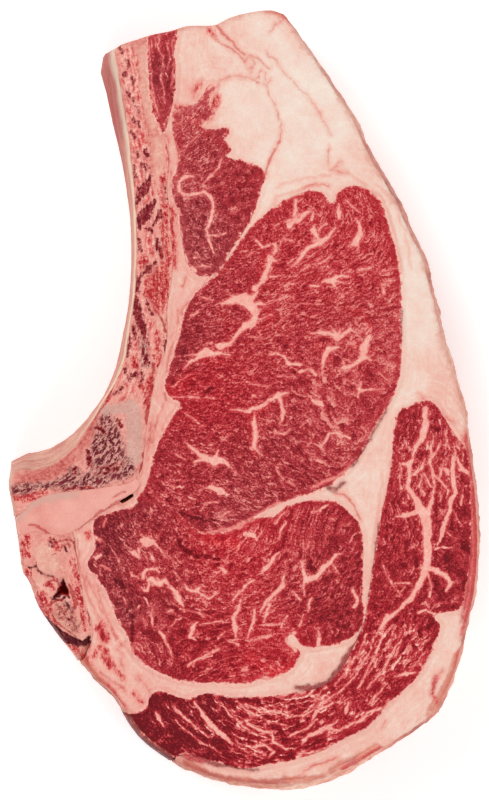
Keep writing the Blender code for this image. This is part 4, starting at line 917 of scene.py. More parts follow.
class Piece:
    """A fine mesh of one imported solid. Its face is 1 on the upper face, 0 on the side and -1 on the back."""

    def __init__(self, node):
        self.node = node
        self.slot, top, back, spacing, levels = PIECES[node]
        self.others = other_outlines(node)
        solid = SOLIDS[node]
        heights = np.linspace(THICKNESS - RIM_HEIGHT, RIM_HEIGHT, levels)
        through = outlines(solid, THICKNESS / 2)
        starts = [evenly(nearest_loop(loop, outlines(solid, heights[0])), spacing) for loop in through]
        touching = [self.touching(start) for start in starts]
        columns = [self.column(solid, start, heights, near) for start, near in zip(starts, touching)]
        tree = BVHTree.FromPolygons([Vector(c) for c in solid[0].tolist()], solid[1].tolist())
        self.blocks, self.faces = [], []
        top_start = self.add_cut_face([column[0] for column in columns], top, touching, tree, 1)
        back_start = self.add_cut_face([column[-1] for column in columns], back, touching, tree, -1)
        rim_size = 0
        for column, start in zip(columns, starts):
            points = rim_size + np.arange(len(start))
            self.add_side(column, top_start + points, back_start + points)
            rim_size += len(start)
        joined = (np.concatenate(part) for part in zip(*self.blocks))
        self.spots, self.ways, self.rim, self.face, hollow = joined
        self.rim_points = np.zeros(len(self.spots), bool)
        for start in (top_start, back_start):
            self.rim_points[start:start + rim_size] = True
        depth = (THICKNESS - self.spots[:, 2]) / THICKNESS
        self.pattern = self.on_the_face(depth)
        self.shore = distances(SHORE, self.pattern[:, :2])
        self.marks = {"depth": depth, "shore": self.shore, "fibre": self.pattern * GRAIN_STRETCH,
                      "hollow": hollow,
                      "place": self.spots, "pit": (self.face == 1) * rise(depth, 0.02, 0.09)}

    def touching(self, loop):
        """How closely another piece lies along a loop, from 0 to 1."""
        near = rise(distances(self.others, loop), SEAM_REACH, SEAM_REACH * 0.6)
        for _ in range(SEAM_SOFTENING):
            near = (np.roll(near, 1) + 2 * near + np.roll(near, -1)) / 4
        return near

    def column(self, solid, start, heights, near):
        """A loop carried down the side as rings with heights: closer where it flares, wider by neighbours."""
        rings, ring = [], start
        for height in heights:
            ring = slide(ring, nearest_loop(ring, outlines(solid, height)))
            grown = ring + outward(ring) * (near * SEAM_GROWTH)[:, None]
            if rings:
                last, above = rings[-1]
                steps = math.ceil(np.linalg.norm(grown - last, axis=1).max() / RING_REACH)
                for share in np.arange(1, steps) / max(steps, 1):
                    rings.append((last + (grown - last) * share, above + (height - above) * share))
            rings.append((grown, height))
        return rings

    def add(self, spots, ways, rim, face, hollow=0.0):
        """Adds points with their ways out, distances to the rim, face, and whether they line a hole."""
        start = sum(len(block[0]) for block in self.blocks)
        count = len(spots)
        self.blocks.append((spots, ways, rim, np.full(count, face), np.full(count, hollow)))
        return start

    def add_cut_face(self, rings, spacing, touching, tree, side):
        """Fills the upper face (side 1) or the back (side -1) inside its rings. Gives its first index."""
        loops = [ring for ring, _ in rings]
        edge_height = rings[0][1]
        inner, away, faces = fill(loops, spacing, sorted(PIECES).index(self.node))
        flat = np.vstack([*loops, inner])
        rim_size = len(flat) - len(inner)
        inner_heights = heights_on(tree, inner, side, edge_height)
        z = np.concatenate([np.full(rim_size, edge_height), inner_heights])
        near = np.concatenate([*touching, rise(distances(self.others, inner), 2.0, 1.0)])
        seam = THICKNESS - SEAM_DIP if side > 0 else SEAM_DIP
        z += near * side * np.maximum(side * (seam - z), 0)
        z -= RELIEF_ROOM * side
        ways = np.tile([0, 0, float(side)], (len(flat), 1))
        start = self.add(np.column_stack([flat, z]), ways, np.concatenate([np.zeros(rim_size), away]), side)
        self.faces += (faces[:, ::side] + start).tolist()
        return start

    def add_side(self, column, above, below):
        """Joins the upper face's rim to the back's by rings down the side."""
        hollow = float(area_of(column[0][0]) < 0)
        for ring, z in column[1:-1]:
            count = len(ring)
            ways = np.column_stack([outward(ring), np.zeros(count)])
            start = self.add(np.column_stack([ring, np.full(count, z)]), ways, np.zeros(count), 0, hollow)
            points = start + np.arange(count)
            self.wall(above, points)
            above = points
        self.wall(above, below)

    def wall(self, above, below):
        """The faces between two rings."""
        quads = np.column_stack([below, np.roll(below, -1), np.roll(above, -1), above])
        self.faces += quads.tolist()

    def on_the_face(self, depth):
        """Where each point's fibres come out on the upper face, wandering more the deeper it lies."""
        depth = np.where(self.face == 1, 0, np.clip(depth, 0, 1))
        found = self.spots.copy()
        found[:, :2] -= GRAIN_LEAN * depth[:, None]
        for axis, seed in ((0, 5), (1, 6)):
            found[:, axis] += noise(self.spots, GRAIN_BENDS, seed) * GRAIN_WANDER * depth
        return found

    def below_rim(self, depth=0.08):
        """0 on the upper face, and 1 from some share of the thickness down."""
        return rise(self.marks["depth"], 0.0, depth)

    def mark(self, **values):
        """Keeps values for each point, which the material reads by their names."""
        self.marks |= values

    def make(self, relief, material):
        """Makes the finished object."""
        relief = np.where(self.rim_points, relief * 0.4, relief)
        spots = self.spots + self.ways * relief[:, None]
        spots[:, :2] += ORIGIN
        spots = np.clip(spots, *(np.array(corner) / MM for corner in cad_box))
        mesh = bpy.data.meshes.new(self.node + "_flesh")
        mesh.from_pydata((spots * MM).tolist(), [], self.faces)
        mesh.shade_smooth()
        for name, values in self.marks.items():
            if values.ndim == 1:
                stored = mesh.attributes.new(name, "FLOAT", "POINT")
                stored.data.foreach_set("value", values.astype(np.float32))
            else:
                layer = mesh.attributes.new(name, "FLOAT_VECTOR", "POINT")
                layer.data.foreach_set("vector", values.astype(np.float32).ravel())
        mesh.materials.append(material)
        made = bpy.data.objects.new(self.node + "_flesh", mesh)
        bpy.context.scene.collection.objects.link(made)
        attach(made, "root")
        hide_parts(self.node)


# Materials. A scale of colours has places from 0 to 1, each with its red, green and blue as screens show
# them.

CRUST_SCALE = [(0.0, 112, 40, 34), (0.25, 168, 76, 62), (0.5, 206, 120, 100), (0.75, 224, 156, 134),
               (1.0, 238, 192, 170)]
LEAN_SCALE = [(0.0, 108, 0, 14), (0.2, 154, 14, 28), (0.4, 190, 42, 52), (0.56, 211, 84, 86),
              (0.74, 230, 134, 124),
              (0.9, 241, 172, 158), (1.0, 246, 196, 182)]
DULL_SCALE = [(0.0, 84, 32, 40), (0.3, 128, 70, 74), (0.5, 176, 118, 114), (0.75, 216, 164, 154),
              (1.0, 240, 196, 182)]
BLOOD_SCALE = [(0.0, 116, 0, 16), (0.3, 172, 32, 42), (0.55, 206, 82, 80), (0.8, 229, 142, 130),
               (1.0, 238, 172, 158)]
FAT_SCALE = [(0.0, 243, 227, 213), (0.1, 240, 219, 205), (0.28, 239, 203, 188), (0.46, 236, 183, 167),
             (0.7, 232, 160, 147), (0.86, 219, 132, 121), (1.0, 196, 98, 92)]
# The crevices' dark red: partly their own colour and partly painted shade of the groove
CREVICE_SCALE = [(0.0, 104, 10, 24), (1.0, 186, 84, 82)]
RIND_SCALE = [(0.0, 170, 54, 50), (0.4, 206, 112, 94), (0.7, 222, 148, 126), (1.0, 234, 176, 154)]
BONE_SCALE = [(0.0, 184, 78, 76), (0.25, 212, 120, 110), (0.5, 225, 146, 133), (0.75, 235, 168, 153),
              (1.0, 242, 196, 180)]
PALE_SCALE = [(0.0, 216, 146, 132), (0.5, 232, 172, 154), (1.0, 242, 200, 182)]
BROWN_SCALE = [(0.0, 104, 20, 32), (0.3, 168, 72, 72), (0.55, 200, 122, 110), (1.0, 230, 176, 158)]
GREY_SCALE = [(0.0, 196, 140, 130), (0.5, 212, 160, 148), (1.0, 226, 182, 170)]
SPECKLED_SCALE = [(0.0, 190, 116, 110), (1.0, 230, 178, 166)]
HOLE_SCALE = [(0.0, 84, 10, 26), (1.0, 142, 50, 60)]
MARROW_SCALE = [(0.0, 92, 6, 20), (0.3, 130, 32, 42), (0.52, 172, 72, 72), (0.75, 216, 134, 124),
                (1.0, 238, 184, 170)]
# The colours of the painted shade in the bone's hollows, hole and cracks
HOLLOW_SHADE_SCALE = [(0.0, 58, 6, 16), (0.5, 94, 26, 34), (1.0, 156, 74, 72)]
BONE_VEIN_SCALE = [(0.0, 146, 8, 22), (1.0, 206, 70, 68)]
# Down the rib's side by depth, and near the rib's tip: the pale cream band near the top is the skin's own pale
# colour and a painted highlight along it.
SILVER_SCALE = [(0.0, 188, 96, 86), (0.05, 208, 138, 120), (0.12, 236, 206, 180), (0.26, 226, 184, 160),
                (0.36, 196, 128, 110), (0.5, 216, 150, 130), (1.0, 190, 104, 92)]
RUDDY_SCALE = [(0.0, 160, 40, 44), (0.035, 188, 96, 86), (0.07, 218, 188, 168), (0.2, 208, 176, 158),
               (0.3, 188, 126, 114), (0.44, 172, 70, 64), (1.0, 172, 70, 64)]
DUSKY_SCALE = [(0.0, 178, 96, 88), (0.4, 204, 138, 122), (0.7, 222, 176, 154), (1.0, 240, 208, 184)]
PAD_SCALE = [(0.0, 204, 106, 100), (0.3, 228, 146, 134), (0.6, 237, 168, 155), (1.0, 243, 192, 178)]


def tint(red, green, blue):
    """A colour as screens give it, from 0 to 255, turned into Blender's linear one."""
    parts = [c / 255 for c in (red, green, blue)]
    return tuple(c / 12.92 if c <= 0.04045 else ((c + 0.055) / 1.055) ** 2.4 for c in parts) + (1.0,)


# Deep in a hollow hardly any light arrives, so the flesh there is bright and still looks dark.
PIT_RED = tint(232, 56, 64)
# The walls of the holes in the fat and in the bone, which neighbours hide
FAT_HOLE_RED = tint(196, 40, 44)
BONE_HOLE_RED = tint(176, 26, 34)
FAT_VEIN_RED = tint(212, 88, 82)
CREVICE_EDGE = tint(206, 132, 122)
MARROW_EDGE = tint(238, 178, 164)
PALE_STRAND = tint(236, 204, 182)
DARK_STRAND = tint(170, 78, 70)
PAD_GREY_TONE = tint(214, 164, 150)
PAD_VEIN_RED = tint(200, 56, 58)
# What the bright zones of lean meat are multiplied by
BRIGHTENING = (1.15, 0.5, 0.55, 1.0)
# How the light spreads under a waxy surface: its reach in millimetres, and red, green and blue
GLOW_REACH = 0.6
GLOW_COLOURS = (1.0, 0.35, 0.25)


class Value:
    """A number that varies over a surface, inside a material's nodes."""

    def __init__(self, paint, socket):
        self.paint = paint
        self.socket = socket

    def maths(self, operation, *inputs):
        return self.paint.node("Math", {"operation": operation}, dict(enumerate(inputs)))

    def __add__(self, other):
        return self.maths("ADD", self, other)

    __radd__ = __add__

    def __sub__(self, other):
        return self.maths("SUBTRACT", self, other)

    def __rsub__(self, other):
        return self.maths("SUBTRACT", other, self)

    def __mul__(self, other):
        return self.maths("MULTIPLY", self, other)

    def most(self, other):
        return self.maths("MAXIMUM", self, other)

    def least(self, other):
        return self.maths("MINIMUM", self, other)

    def rise(self, start, end):
        """A smooth step from 0 at start to 1 at end."""
        sockets = {"Value": self, "From Min": start, "From Max": end}
        return self.paint.node("MapRange", {"interpolation_type": "SMOOTHSTEP"}, sockets)


class Paint:
    """A material under construction."""

    def __init__(self, name):
        self.material = bpy.data.materials.new(name)
        self.material.use_nodes = True
        self.tree = self.material.node_tree
        self.tree.nodes.clear()
        self.fibre = self.mark("fibre", "Vector")

    def node(self, kind, settings=None, inputs=None, output=0):
        """Adds a node with its settings and inputs, and gives one of its outputs."""
        made = self.tree.nodes.new("ShaderNode" + kind)
        for name, value in (settings or {}).items():
            setattr(made, name, value)
        for name, value in (inputs or {}).items():
            socket = made.inputs[name] if isinstance(name, int) else self.socket(made.inputs, name)
            if isinstance(value, Value):
                self.tree.links.new(value.socket, socket)
            else:
                socket.default_value = value
        found = made.outputs[output] if isinstance(output, int) else self.socket(made.outputs, output)
        return Value(self, found)

    def socket(self, sockets, name):
        """A socket by its identifier, or else by its name."""
        return next((s for s in sockets if s.identifier == name), None) or sockets[name]

    def mark(self, name, output="Fac"):
        """A value that the mesh keeps at its points."""
        return self.node("Attribute", {"attribute_name": name}, output=output)

    def axis(self, index):
        """One coordinate of the fibres' place."""
        return self.node("SeparateXYZ", None, {0: self.fibre}, index)

    def joined(self, x, y, z=0.0):
        """A place made of three values."""
        return self.node("CombineXYZ", None, {0: x, 1: y, 2: z})

    def noise(self, per_mm, detail=2.0, roughness=0.5, where=None):
        """Cloudy noise around 0, with so many bumps to a millimetre."""
        sockets = {"Vector": where or self.fibre, "Scale": per_mm, "Detail": detail, "Roughness": roughness}
        return (self.node("TexNoise", None, sockets) - 0.5) * 2

    def streaks(self, x, y, detail, roughness, z=0.0):
        """Noise on coordinates of its own, drawn out along the one that is squeezed most."""
        return self.noise(1.0, detail, roughness, self.joined(x, y, z))

    def net(self, x, y):
        """How far it is to the nearest thread of a net, on coordinates of its own."""
        sockets = {"Vector": self.joined(x, y), "Scale": 1.0, "Randomness": 1.0}
        return self.node("TexVoronoi", {"feature": "DISTANCE_TO_EDGE"}, sockets, "Distance")

    def ramp(self, value, scale):
        """The colours of a scale along a value."""
        node = self.tree.nodes.new("ShaderNodeValToRGB")
        elements = node.color_ramp.elements
        while len(elements) < len(scale):
            elements.new(0.5)
        for element, (place, *_) in zip(elements, scale):
            element.position = place
        for element, (_, *colour) in zip(elements, scale):
            element.color = tint(*colour)
        self.tree.links.new(value.socket, node.inputs[0])
        return Value(self, node.outputs[0])

    def mix(self, factor, first, second, way="MIX"):
        """One colour laid over another by a factor."""
        sockets = {"Factor_Float": factor, "A_Color": first, "B_Color": second}
        return self.node("Mix", {"data_type": "RGBA", "blend_type": way}, sockets, "Result_Color")

    def stain(self, factor, colour, value, scale):
        """The colours of a scale laid over a colour by a factor."""
        return self.mix(factor, colour, self.ramp(value, scale))

    def blend(self, factor, first, second):
        """One number taken over into another by a factor."""
        sockets = {"Factor_Float": factor, "A_Float": first, "B_Float": second}
        return self.node("Mix", {"data_type": "FLOAT"}, sockets, "Result_Float")

    def wander(self):
        """How far the edge between meat and fat wanders, in millimetres: the same in both materials."""
        return self.noise(0.4) * 1.3 + self.noise(1.05, 2.0, 0.6) * 1.2

    def finish(self, colour, roughness, height, depth, shine, glow=0.0):
        """The surface itself. Its small relief is a height times a depth in millimetres."""
        relief = self.node("Bump", None, {"Height": height, "Distance": depth * MM, "Strength": 1.0})
        sockets = {"Base Color": colour, "Roughness": roughness, "Normal": relief, "IOR": 1.4,
                   "Specular IOR Level": shine}
        if glow:
            sockets |= {"Subsurface Weight": glow, "Subsurface Scale": GLOW_REACH * MM,
                        "Subsurface Radius": GLOW_COLOURS}
        surface = self.node("BsdfPrincipled", None, sockets)
        out = self.tree.nodes.new("ShaderNodeOutputMaterial")
        self.tree.links.new(surface.socket, out.inputs["Surface"])
        return self.material


def crust(paint, grainy):
    """The dried outside of the slice: salmon where it is fresh, brown where it is driest."""
    place = paint.mark("place", "Vector")
    patches = paint.noise(0.03, 2.0, 0.5, place) * 0.8 + paint.noise(0.11, 4.0, 0.6, place) * 0.75
    patches = patches + paint.noise(0.6, 2.0, 0.5, place) * 0.4 + paint.noise(0.7) * 0.2
    return paint.ramp(0.6 + patches * 0.8 + grainy * 0.2, CRUST_SCALE)


def bled(paint, colour, edge, dark, reach):
    """Lays blood over lighter flesh: pink at its fringe, and as dark as given at its heart."""
    value = paint.blend(edge.rise(reach, -reach), 0.95, dark)
    return paint.stain(edge.rise(reach * 1.4, reach * 0.6), colour, value, BLOOD_SCALE)


def soaked(paint, colour, dark):
    """Lays neighbouring meat over lighter flesh: pink at its fringe, and as dark as given at its heart."""
    edge, reach = paint.mark("meat") + paint.wander(), 0.6
    value = paint.blend(edge.rise(reach, -reach), 1.0, dark)
    return paint.stain(edge.rise(reach * 1.5, reach * 0.6), colour, value, LEAN_SCALE)


def fine_fat(paint, along, bent, speck, patch, broad, bundles):
    """The fine fat of lean meat: a net round its bundles, with threads and small streaks between them."""
    grain, rich = paint.mark("grain"), paint.mark("rich")
    net = paint.net(along * 0.62 + speck * 0.4, bent * 1.15 + speck * 0.4)
    mesh = net.rise(0.16, 0.0) * (patch * 1.2 + speck + 0.4).rise(-0.2, 0.9)
    wave = paint.streaks(along * 0.13, bent * 0.5, 1.0, 0.5)
    threads = wave.most(wave * -1.0).rise(0.08, 0.0) * (patch + broad + bundles * 0.6).rise(-0.15, 0.5)
    small = (paint.streaks(along * 0.26, bent * 0.85, 3.0, 0.6, 7.0) + speck * 0.35).rise(0.22, 0.7)
    lobes = paint.net(along * 0.1 + patch * 0.2, bent * 0.4 + patch * 0.15)
    open_lobes = (broad * 1.6 + patch * 0.7 + 0.3).rise(0.0, 0.4) * (rich - 1.0).most(0.0)
    lacing = (lobes + speck * 0.03).rise(0.15, 0.02) * open_lobes
    return mesh, mesh * 0.2 * grain + threads * 0.32 * rich + small * 0.34 * rich.least(1.0), lacing


def lean_material():
    """Raw flesh: dark red fibre bundles in a pale net, with fat in it."""
    paint = Paint("lean_flesh")
    along = paint.mark("along")
    speck = paint.noise(1.7, 2.0, 0.65)
    patch = paint.noise(0.45)
    broad = paint.noise(0.1)
    bent = paint.mark("across") + patch * 0.9 + broad * 1.5
    bundles = paint.streaks(along * 0.5, bent * 1.35, 2.0, 0.65)
    ragged = speck * 0.55 + bundles * 0.85 + patch * 0.45
    mesh, net_share, lacing = fine_fat(paint, along, bent, speck, patch, broad, bundles)

    dull = paint.mark("dull")
    lively = paint.mark("rim").rise(0.8, 2.4) * 0.45 + 0.55
    grain = (speck * 0.5 + bundles * 0.6) * paint.mark("grain") * lively
    base = 0.31 + paint.mark("tone") + grain + patch * 0.12 + broad * 0.06
    base = (base + net_share * (lively + dull * 0.8)).least(0.74) + lacing * 0.55

    fleck = paint.mark("fleck") + ragged
    pale = (paint.mark("pale") + ragged).rise(0.35, -0.6) * 0.75
    rim = (paint.mark("rim") - paint.wander() - speck * 0.3).rise(0.55, -0.5) * 0.95
    fatty = fleck.rise(0.2, -0.5).most(pale).most(rim)
    meaty = 1 - fatty
    # Painted shade darkens the fold lines and cracks.
    dark = (paint.mark("dark") + ragged * 0.4).rise(0.45, -0.15)
    amount = paint.blend(fatty, base + fleck.rise(1.2, 0.0) * 0.08, 0.9 + patch * 0.12 + speck * 0.2)
    amount = amount - dark * 0.3

    bright = (paint.mark("bright") + patch * 1.6 + bundles * 1.6).rise(1.2, -1.2) * meaty
    colour = paint.mix(bright * 0.5, paint.ramp(amount, LEAN_SCALE), BRIGHTENING, "MULTIPLY")
    colour = paint.stain(dull * meaty, colour, amount, DULL_SCALE)
    colour = paint.mix(paint.mark("skin"), colour, crust(paint, speck))
    height = speck * 0.6 + bundles * 0.5 + mesh * 0.2 + fatty * 0.5 - dark
    return paint.finish(colour, 0.47 + speck * 0.12 + fatty * 0.05, height, 0.12, shine=0.22)


def fat_material():
    """Waxy fat, pinker where it is thin, with veins, shreds of meat, crevices darkened partly by painted
    shade, and a dry crust on the side.
    """
    paint = Paint("fat_flesh")
    grainy = paint.noise(1.7, 3.0, 0.65)
    patch = paint.noise(0.5)
    cloud = paint.noise(0.14, 3.0, 0.55)
    ragged = grainy * 0.5 + patch * 0.45
    meat = paint.mark("meat")
    sheets = paint.streaks(meat * 0.9 + patch * 0.35, cloud * 2.0, 2.0, 0.6)
    strands = paint.streaks(paint.axis(0) + patch * 0.3, paint.axis(1) * 0.4, 3.0, 0.65)
    layers = paint.streaks(paint.mark("shore") * 1.1 + patch * 0.25, cloud * 2.0, 3.0, 0.6)
    vein = paint.mark("vein") + ragged * 0.32
    crevice = paint.mark("crevice") + ragged * 0.7 + strands * 0.3

    pink = paint.mark("pink") + cloud * 0.4 + patch * 0.16 + grainy * 0.34
    pink = pink + (sheets * 0.65 + strands * 0.5) * paint.mark("pink") * 1.1
    pink = pink + (meat + ragged).rise(2.0, 0.0) * 0.3
    pink = pink + vein.rise(1.6, 0.0) * 0.3 + (paint.mark("sheet") + ragged * 0.6).rise(0.8, -0.3) * 0.36
    colour = soaked(paint, paint.ramp(pink * 0.6 + 0.1, FAT_SCALE), 0.4 + grainy * 0.5 + patch * 0.2)
    colour = paint.mix(vein.rise(0.26, -0.3) * 0.75, colour, FAT_VEIN_RED)
    shred = paint.mark("shred") + strands * 1.7 + grainy * 0.8
    colour = bled(paint, colour, shred, 0.36 + grainy * 0.45 + strands * 0.6, 1.2)
    # The crevices are painted dark red: partly their own colour and partly painted shade in the groove.
    colour = paint.mix(crevice.rise(1.5, 0.0) * 0.3, colour, CREVICE_EDGE)
    shade = 0.5 + grainy * 0.9 + strands * 0.8
    colour = paint.stain(crevice.rise(0.5, -0.5) * 0.9, colour, shade, CREVICE_SCALE)

    blush = (paint.mark("blush") + cloud * 0.6 + grainy * 0.2 + patch * 0.15).rise(0.2, 1.0)
    ripe = 0.46 + paint.mark("ripe") + cloud * 0.8 + layers * 0.5 + grainy * 0.3
    colour = paint.stain(blush * 0.85, colour, ripe, RIND_SCALE)
    flush = (paint.mark("flush") + ragged * 1.2 + layers * 0.9).rise(1.3, -1.0)
    under = 0.68 + grainy * 0.4 + layers * 0.4 + cloud * 0.5 - flush * 0.2
    colour = paint.stain(flush * 0.9, colour, under, LEAN_SCALE)
    outside = paint.mix(paint.mark("hollow"), crust(paint, grainy), FAT_HOLE_RED)
    colour = paint.mix(paint.mark("skin"), colour, outside)
    colour = paint.mix(paint.mark("pit"), colour, PIT_RED)
    height = grainy * 0.5 + patch * 0.6 + cloud * 1.2 - vein.rise(0.3, -0.3) * 0.5
    height = height - crevice.rise(0.35, -0.35) * 1.5
    return paint.finish(colour, 0.46 + grainy * 0.1, height, 0.14, shine=0.2, glow=0.1)


def silvery_skin(paint, along):
    """The skin down the rib's side: silvery at the top, with a pale band that is partly a painted highlight,
    browner further down, with strands along the bone.
    """
    place = paint.mark("place", "Vector")
    strands = paint.streaks(along * 0.07, paint.mark("depth") * 18.0, 4.0, 0.6)
    fine = paint.noise(1.3, 3.0, 0.6, place)
    patches = paint.noise(0.12, 3.0, 0.6, place)
    # The pale band near the top of both scales is partly a painted highlight.
    level = paint.mark("depth") + strands * 0.07 + patches * 0.1 + fine * 0.02
    silver = paint.stain(paint.mark("ruddy"), paint.ramp(level, SILVER_SCALE), level, RUDDY_SCALE)
    silver = paint.mix((strands + fine * 0.3).rise(0.05, 0.6) * 0.4, silver, PALE_STRAND)
    silver = paint.mix((strands + fine * 0.3 + patches * 0.5).rise(-0.1, -0.6) * 0.45, silver, DARK_STRAND)
    dusky = 0.44 + strands * 0.8 + patches * 0.6 + fine * 0.3
    return paint.stain(paint.mark("dusky"), silver, dusky, DUSKY_SCALE)


def bone_material():
    """Sawn bone: pale wall, sponge with dark marrow, grey cartilage, painted shade in its hollows, hole and
    cracks, and a silvery skin on the side.
    """
    paint = Paint("bone_flesh")
    along, across = paint.mark("along"), paint.mark("across")
    grainy = paint.noise(1.8, 2.0, 0.65)
    dots = paint.noise(0.8, 2.0, 0.6)
    cloud = paint.noise(0.2, 3.0)
    drawn = paint.streaks(along * 0.24, across * 1.1 + dots * 0.4, 3.0, 0.6)
    ragged = grainy * 0.6 + drawn * 0.9

    wall = 0.5 + cloud * 0.24 + dots * 0.3 + drawn * 0.34 + grainy * 0.4 - paint.mark("pink") * 0.3
    outside = paint.mix(paint.mark("hollow"), crust(paint, grainy), BONE_HOLE_RED)
    colour = paint.mix(paint.mark("crust"), paint.ramp(wall, BONE_SCALE), outside)
    spongy = (paint.mark("spongy") + dots * 2.0).rise(1.0, -1.6)
    sponge = 0.66 + paint.mark("ruddy") * 0.1 + grainy * 0.4 + drawn * 0.95 + dots * 0.5
    colour = paint.stain(spongy * 0.9, colour, sponge, LEAN_SCALE)
    pale = (paint.mark("pale") + ragged * 1.4).rise(0.8, -0.9)
    colour = paint.stain(pale * 0.8, colour, 0.5 + grainy * 0.6 + dots * 0.4 + cloud * 0.4, PALE_SCALE)
    brown = (paint.mark("brown") + ragged * 1.4).rise(0.6, -0.6)
    colour = paint.stain(brown * 0.95, colour, 0.52 + grainy * 0.6 + dots * 0.9 + drawn * 0.5, BROWN_SCALE)
    grey = (paint.mark("grey") + ragged * 0.9).rise(0.5, -0.9)
    colour = paint.stain(grey * 0.95, colour, 0.5 + grainy * 0.7 + cloud * 0.4, GREY_SCALE)
    red = paint.mark("red") + ragged * 2.2 + dots * 1.2
    colour = bled(paint, colour, red, 0.5 + grainy * 0.6 + drawn * 0.6 + dots * 0.5, 1.3)

    speckle = paint.mark("speckle") + dots * 1.6 + grainy * 0.6
    net = paint.net(along * 0.5 + dots * 0.7, across + grainy * 0.3 + dots * 0.5)
    worms = paint.streaks(along * 0.45 + dots * 0.9, across * 0.95 + cloud * 2.0, 1.0, 0.5)
    pores = net.rise(0.02, 0.16) * 0.6 + grainy * 0.45 + worms * 1.6
    holes = speckle.rise(1.2, -0.6) * pores.rise(0.1, 0.5)
    colour = paint.stain(speckle.rise(1.0, -0.6) * 0.7, colour, 0.5 + grainy, SPECKLED_SCALE)
    colour = paint.stain(holes, colour, 0.5 + grainy + cloud, HOLE_SCALE)
    marrow = paint.mark("marrow") + ragged * 1.4 + dots * 0.7
    heart = 0.3 + paint.mark("ruddy") * 0.24 + grainy * 0.5 + dots * 0.35 + drawn * 0.5
    colour = paint.mix(marrow.rise(1.3, 0.4) * 0.35, colour, MARROW_EDGE)
    shade = paint.blend(marrow.rise(0.6, -0.6), 0.78, heart)
    colour = paint.stain(marrow.rise(0.8, -0.1), colour, shade, MARROW_SCALE)
    # Painted shade darkens the bone's hollows, its star-shaped hole and its cracks.
    bruise = (paint.mark("bruise") + ragged * 0.5).rise(0.3, -0.2)
    colour = paint.stain(bruise, colour, 0.46 + grainy * 0.8 + drawn * 0.8 + dots * 0.5, HOLLOW_SHADE_SCALE)
    vein = (paint.mark("vein") + ragged * 0.5).rise(0.3, -0.2)
    colour = paint.stain(vein * 0.85, colour, 0.5 + grainy + dots * 0.6, BONE_VEIN_SCALE)

    colour = soaked(paint, colour, 0.42 + grainy * 0.5)
    colour = paint.mix(paint.mark("pit"), colour, PIT_RED)
    colour = paint.mix(paint.mark("skin"), colour, silvery_skin(paint, along))
    height = grainy * 0.7 + drawn * 0.5 - marrow.rise(0.4, -0.4) * 0.5
    height = height - holes * 0.8 - vein * 0.4 - bruise * 0.6
    return paint.finish(colour, 0.55 + grainy * 0.12, height, 0.18, shine=0.12)


def cartilage_material():
    """The smooth pink pad."""
    paint = Paint("pad_flesh")
    grainy = paint.noise(1.7, 3.0, 0.6)
    cloud = paint.noise(0.14, 3.0)
    colour = paint.ramp(0.55 + cloud * 0.3 + grainy * 0.24 - paint.mark("pink") * 0.4, PAD_SCALE)
    grey = (paint.mark("grey") + cloud * 1.5 + grainy * 0.7).rise(1.2, -1.0)
    colour = paint.mix(grey * 0.85, colour, PAD_GREY_TONE)
    vein = (paint.mark("vein") + cloud * 0.3 + grainy * 0.45).rise(0.4, -0.3)
    colour = paint.mix(vein * 0.8, colour, PAD_VEIN_RED)
    colour = paint.mix(paint.mark("pit"), colour, PIT_RED)
    colour = paint.mix(paint.mark("skin") * 0.9, colour, crust(paint, grainy))
    return paint.finish(colour, 0.42 + grainy * 0.1, grainy + cloud - vein, 0.12, shine=0.35, glow=0.1)


# Dressing the pieces

def roughened(piece, seed, size=2.6, reach=0.4):
    """The places of the piece's fibres, moved about a little so that drawn strokes wander."""
    spots = piece.pattern.copy()
    for axis in (0, 1):
        spots[:, axis] += layered_noise(piece.spots, size, seed + axis) * reach
    return spots


def meat_distance(piece, meat):
    """How far from the muscles each point of the faces is."""
    return np.where(piece.face == 0, FAR_FROM_MEAT, distances(meat, piece.pattern[:, :2]))


def dress_lean(piece, seed, material):
    """A muscle: its drawn marbling, the way its fibres run, and relief."""
    flecks, tones, dullness, richness, grain, fray = MUSCLES[piece.node]
    spots = roughened(piece, seed)
    along, across = Flow(flecks, piece.spots[piece.face == 1]).at(piece.pattern)
    fleck = stroke_distance(spots, flecks)
    pale = stroke_distance(spots, PALE_STROKES)
    dark = stroke_distance(spots, DARK_LINES, reach=2.0)
    piece.mark(
        along=along, across=across, fleck=fleck, pale=pale, dark=dark,
        bright=stroke_distance(spots, BRIGHT_STROKES), tone=tone_at(spots, tones),
        dull=tone_at(spots, dullness), rim=np.where(piece.face == 0, 0.8, piece.rim) / fray,
        rich=tone_at(spots, richness), grain=np.full(len(spots), grain),
        skin=rise(piece.shore, 1.3, 0.2) * piece.below_rim() * 0.8)
    fatty = rise(np.minimum(fleck, pale + 0.2), 0.35, -0.35)
    relief = layered_noise(piece.spots, 6, seed + 6) * 0.14 + fatty * 0.12 - rise(dark, 0.7, -0.2) * 0.4
    piece.make(relief, material)


def dress_fat(piece, meat, material):
    """The fat: pink and cream zones, veins, crevices and its lumpy surface."""
    spots = roughened(piece, 40, reach=0.55)
    vein = stroke_distance(spots, FAT_VEINS)
    crevice = stroke_distance(spots, FAT_CREVICES)
    blush = rise(piece.shore, 3.2, 0.4) * 0.45
    blush += rise(stroke_distance(spots, RIND, reach=4.0), 1.2, -1.4) * 0.8
    blush -= rise(stroke_distance(spots, BARE_RIM, reach=4.0), 2.0, 0.0) * 0.4
    side = piece.face == 0
    piece.mark(
        vein=vein, crevice=crevice, blush=blush, flush=stroke_distance(spots, FLUSH),
        sheet=stroke_distance(spots, FAT_SHEETS), pink=tone_at(spots, FAT_PINKNESS),
        ripe=tone_at(spots, RIND_TONES), skin=side * piece.below_rim(), shred=stroke_distance(spots, SHREDS),
        meat=meat_distance(piece, meat))
    relief = layered_noise(piece.spots, 9, 41, 4) * 0.2
    relief -= rise(vein, 0.8, -0.2) * 0.14 + rise(crevice, 0.9, -0.3) * 0.3
    relief -= side * (0.3 + layered_noise(piece.spots, 5, 47, 4) * 0.5 + noise(piece.spots, 1.7, 48) * 0.12)
    piece.make(relief, material)


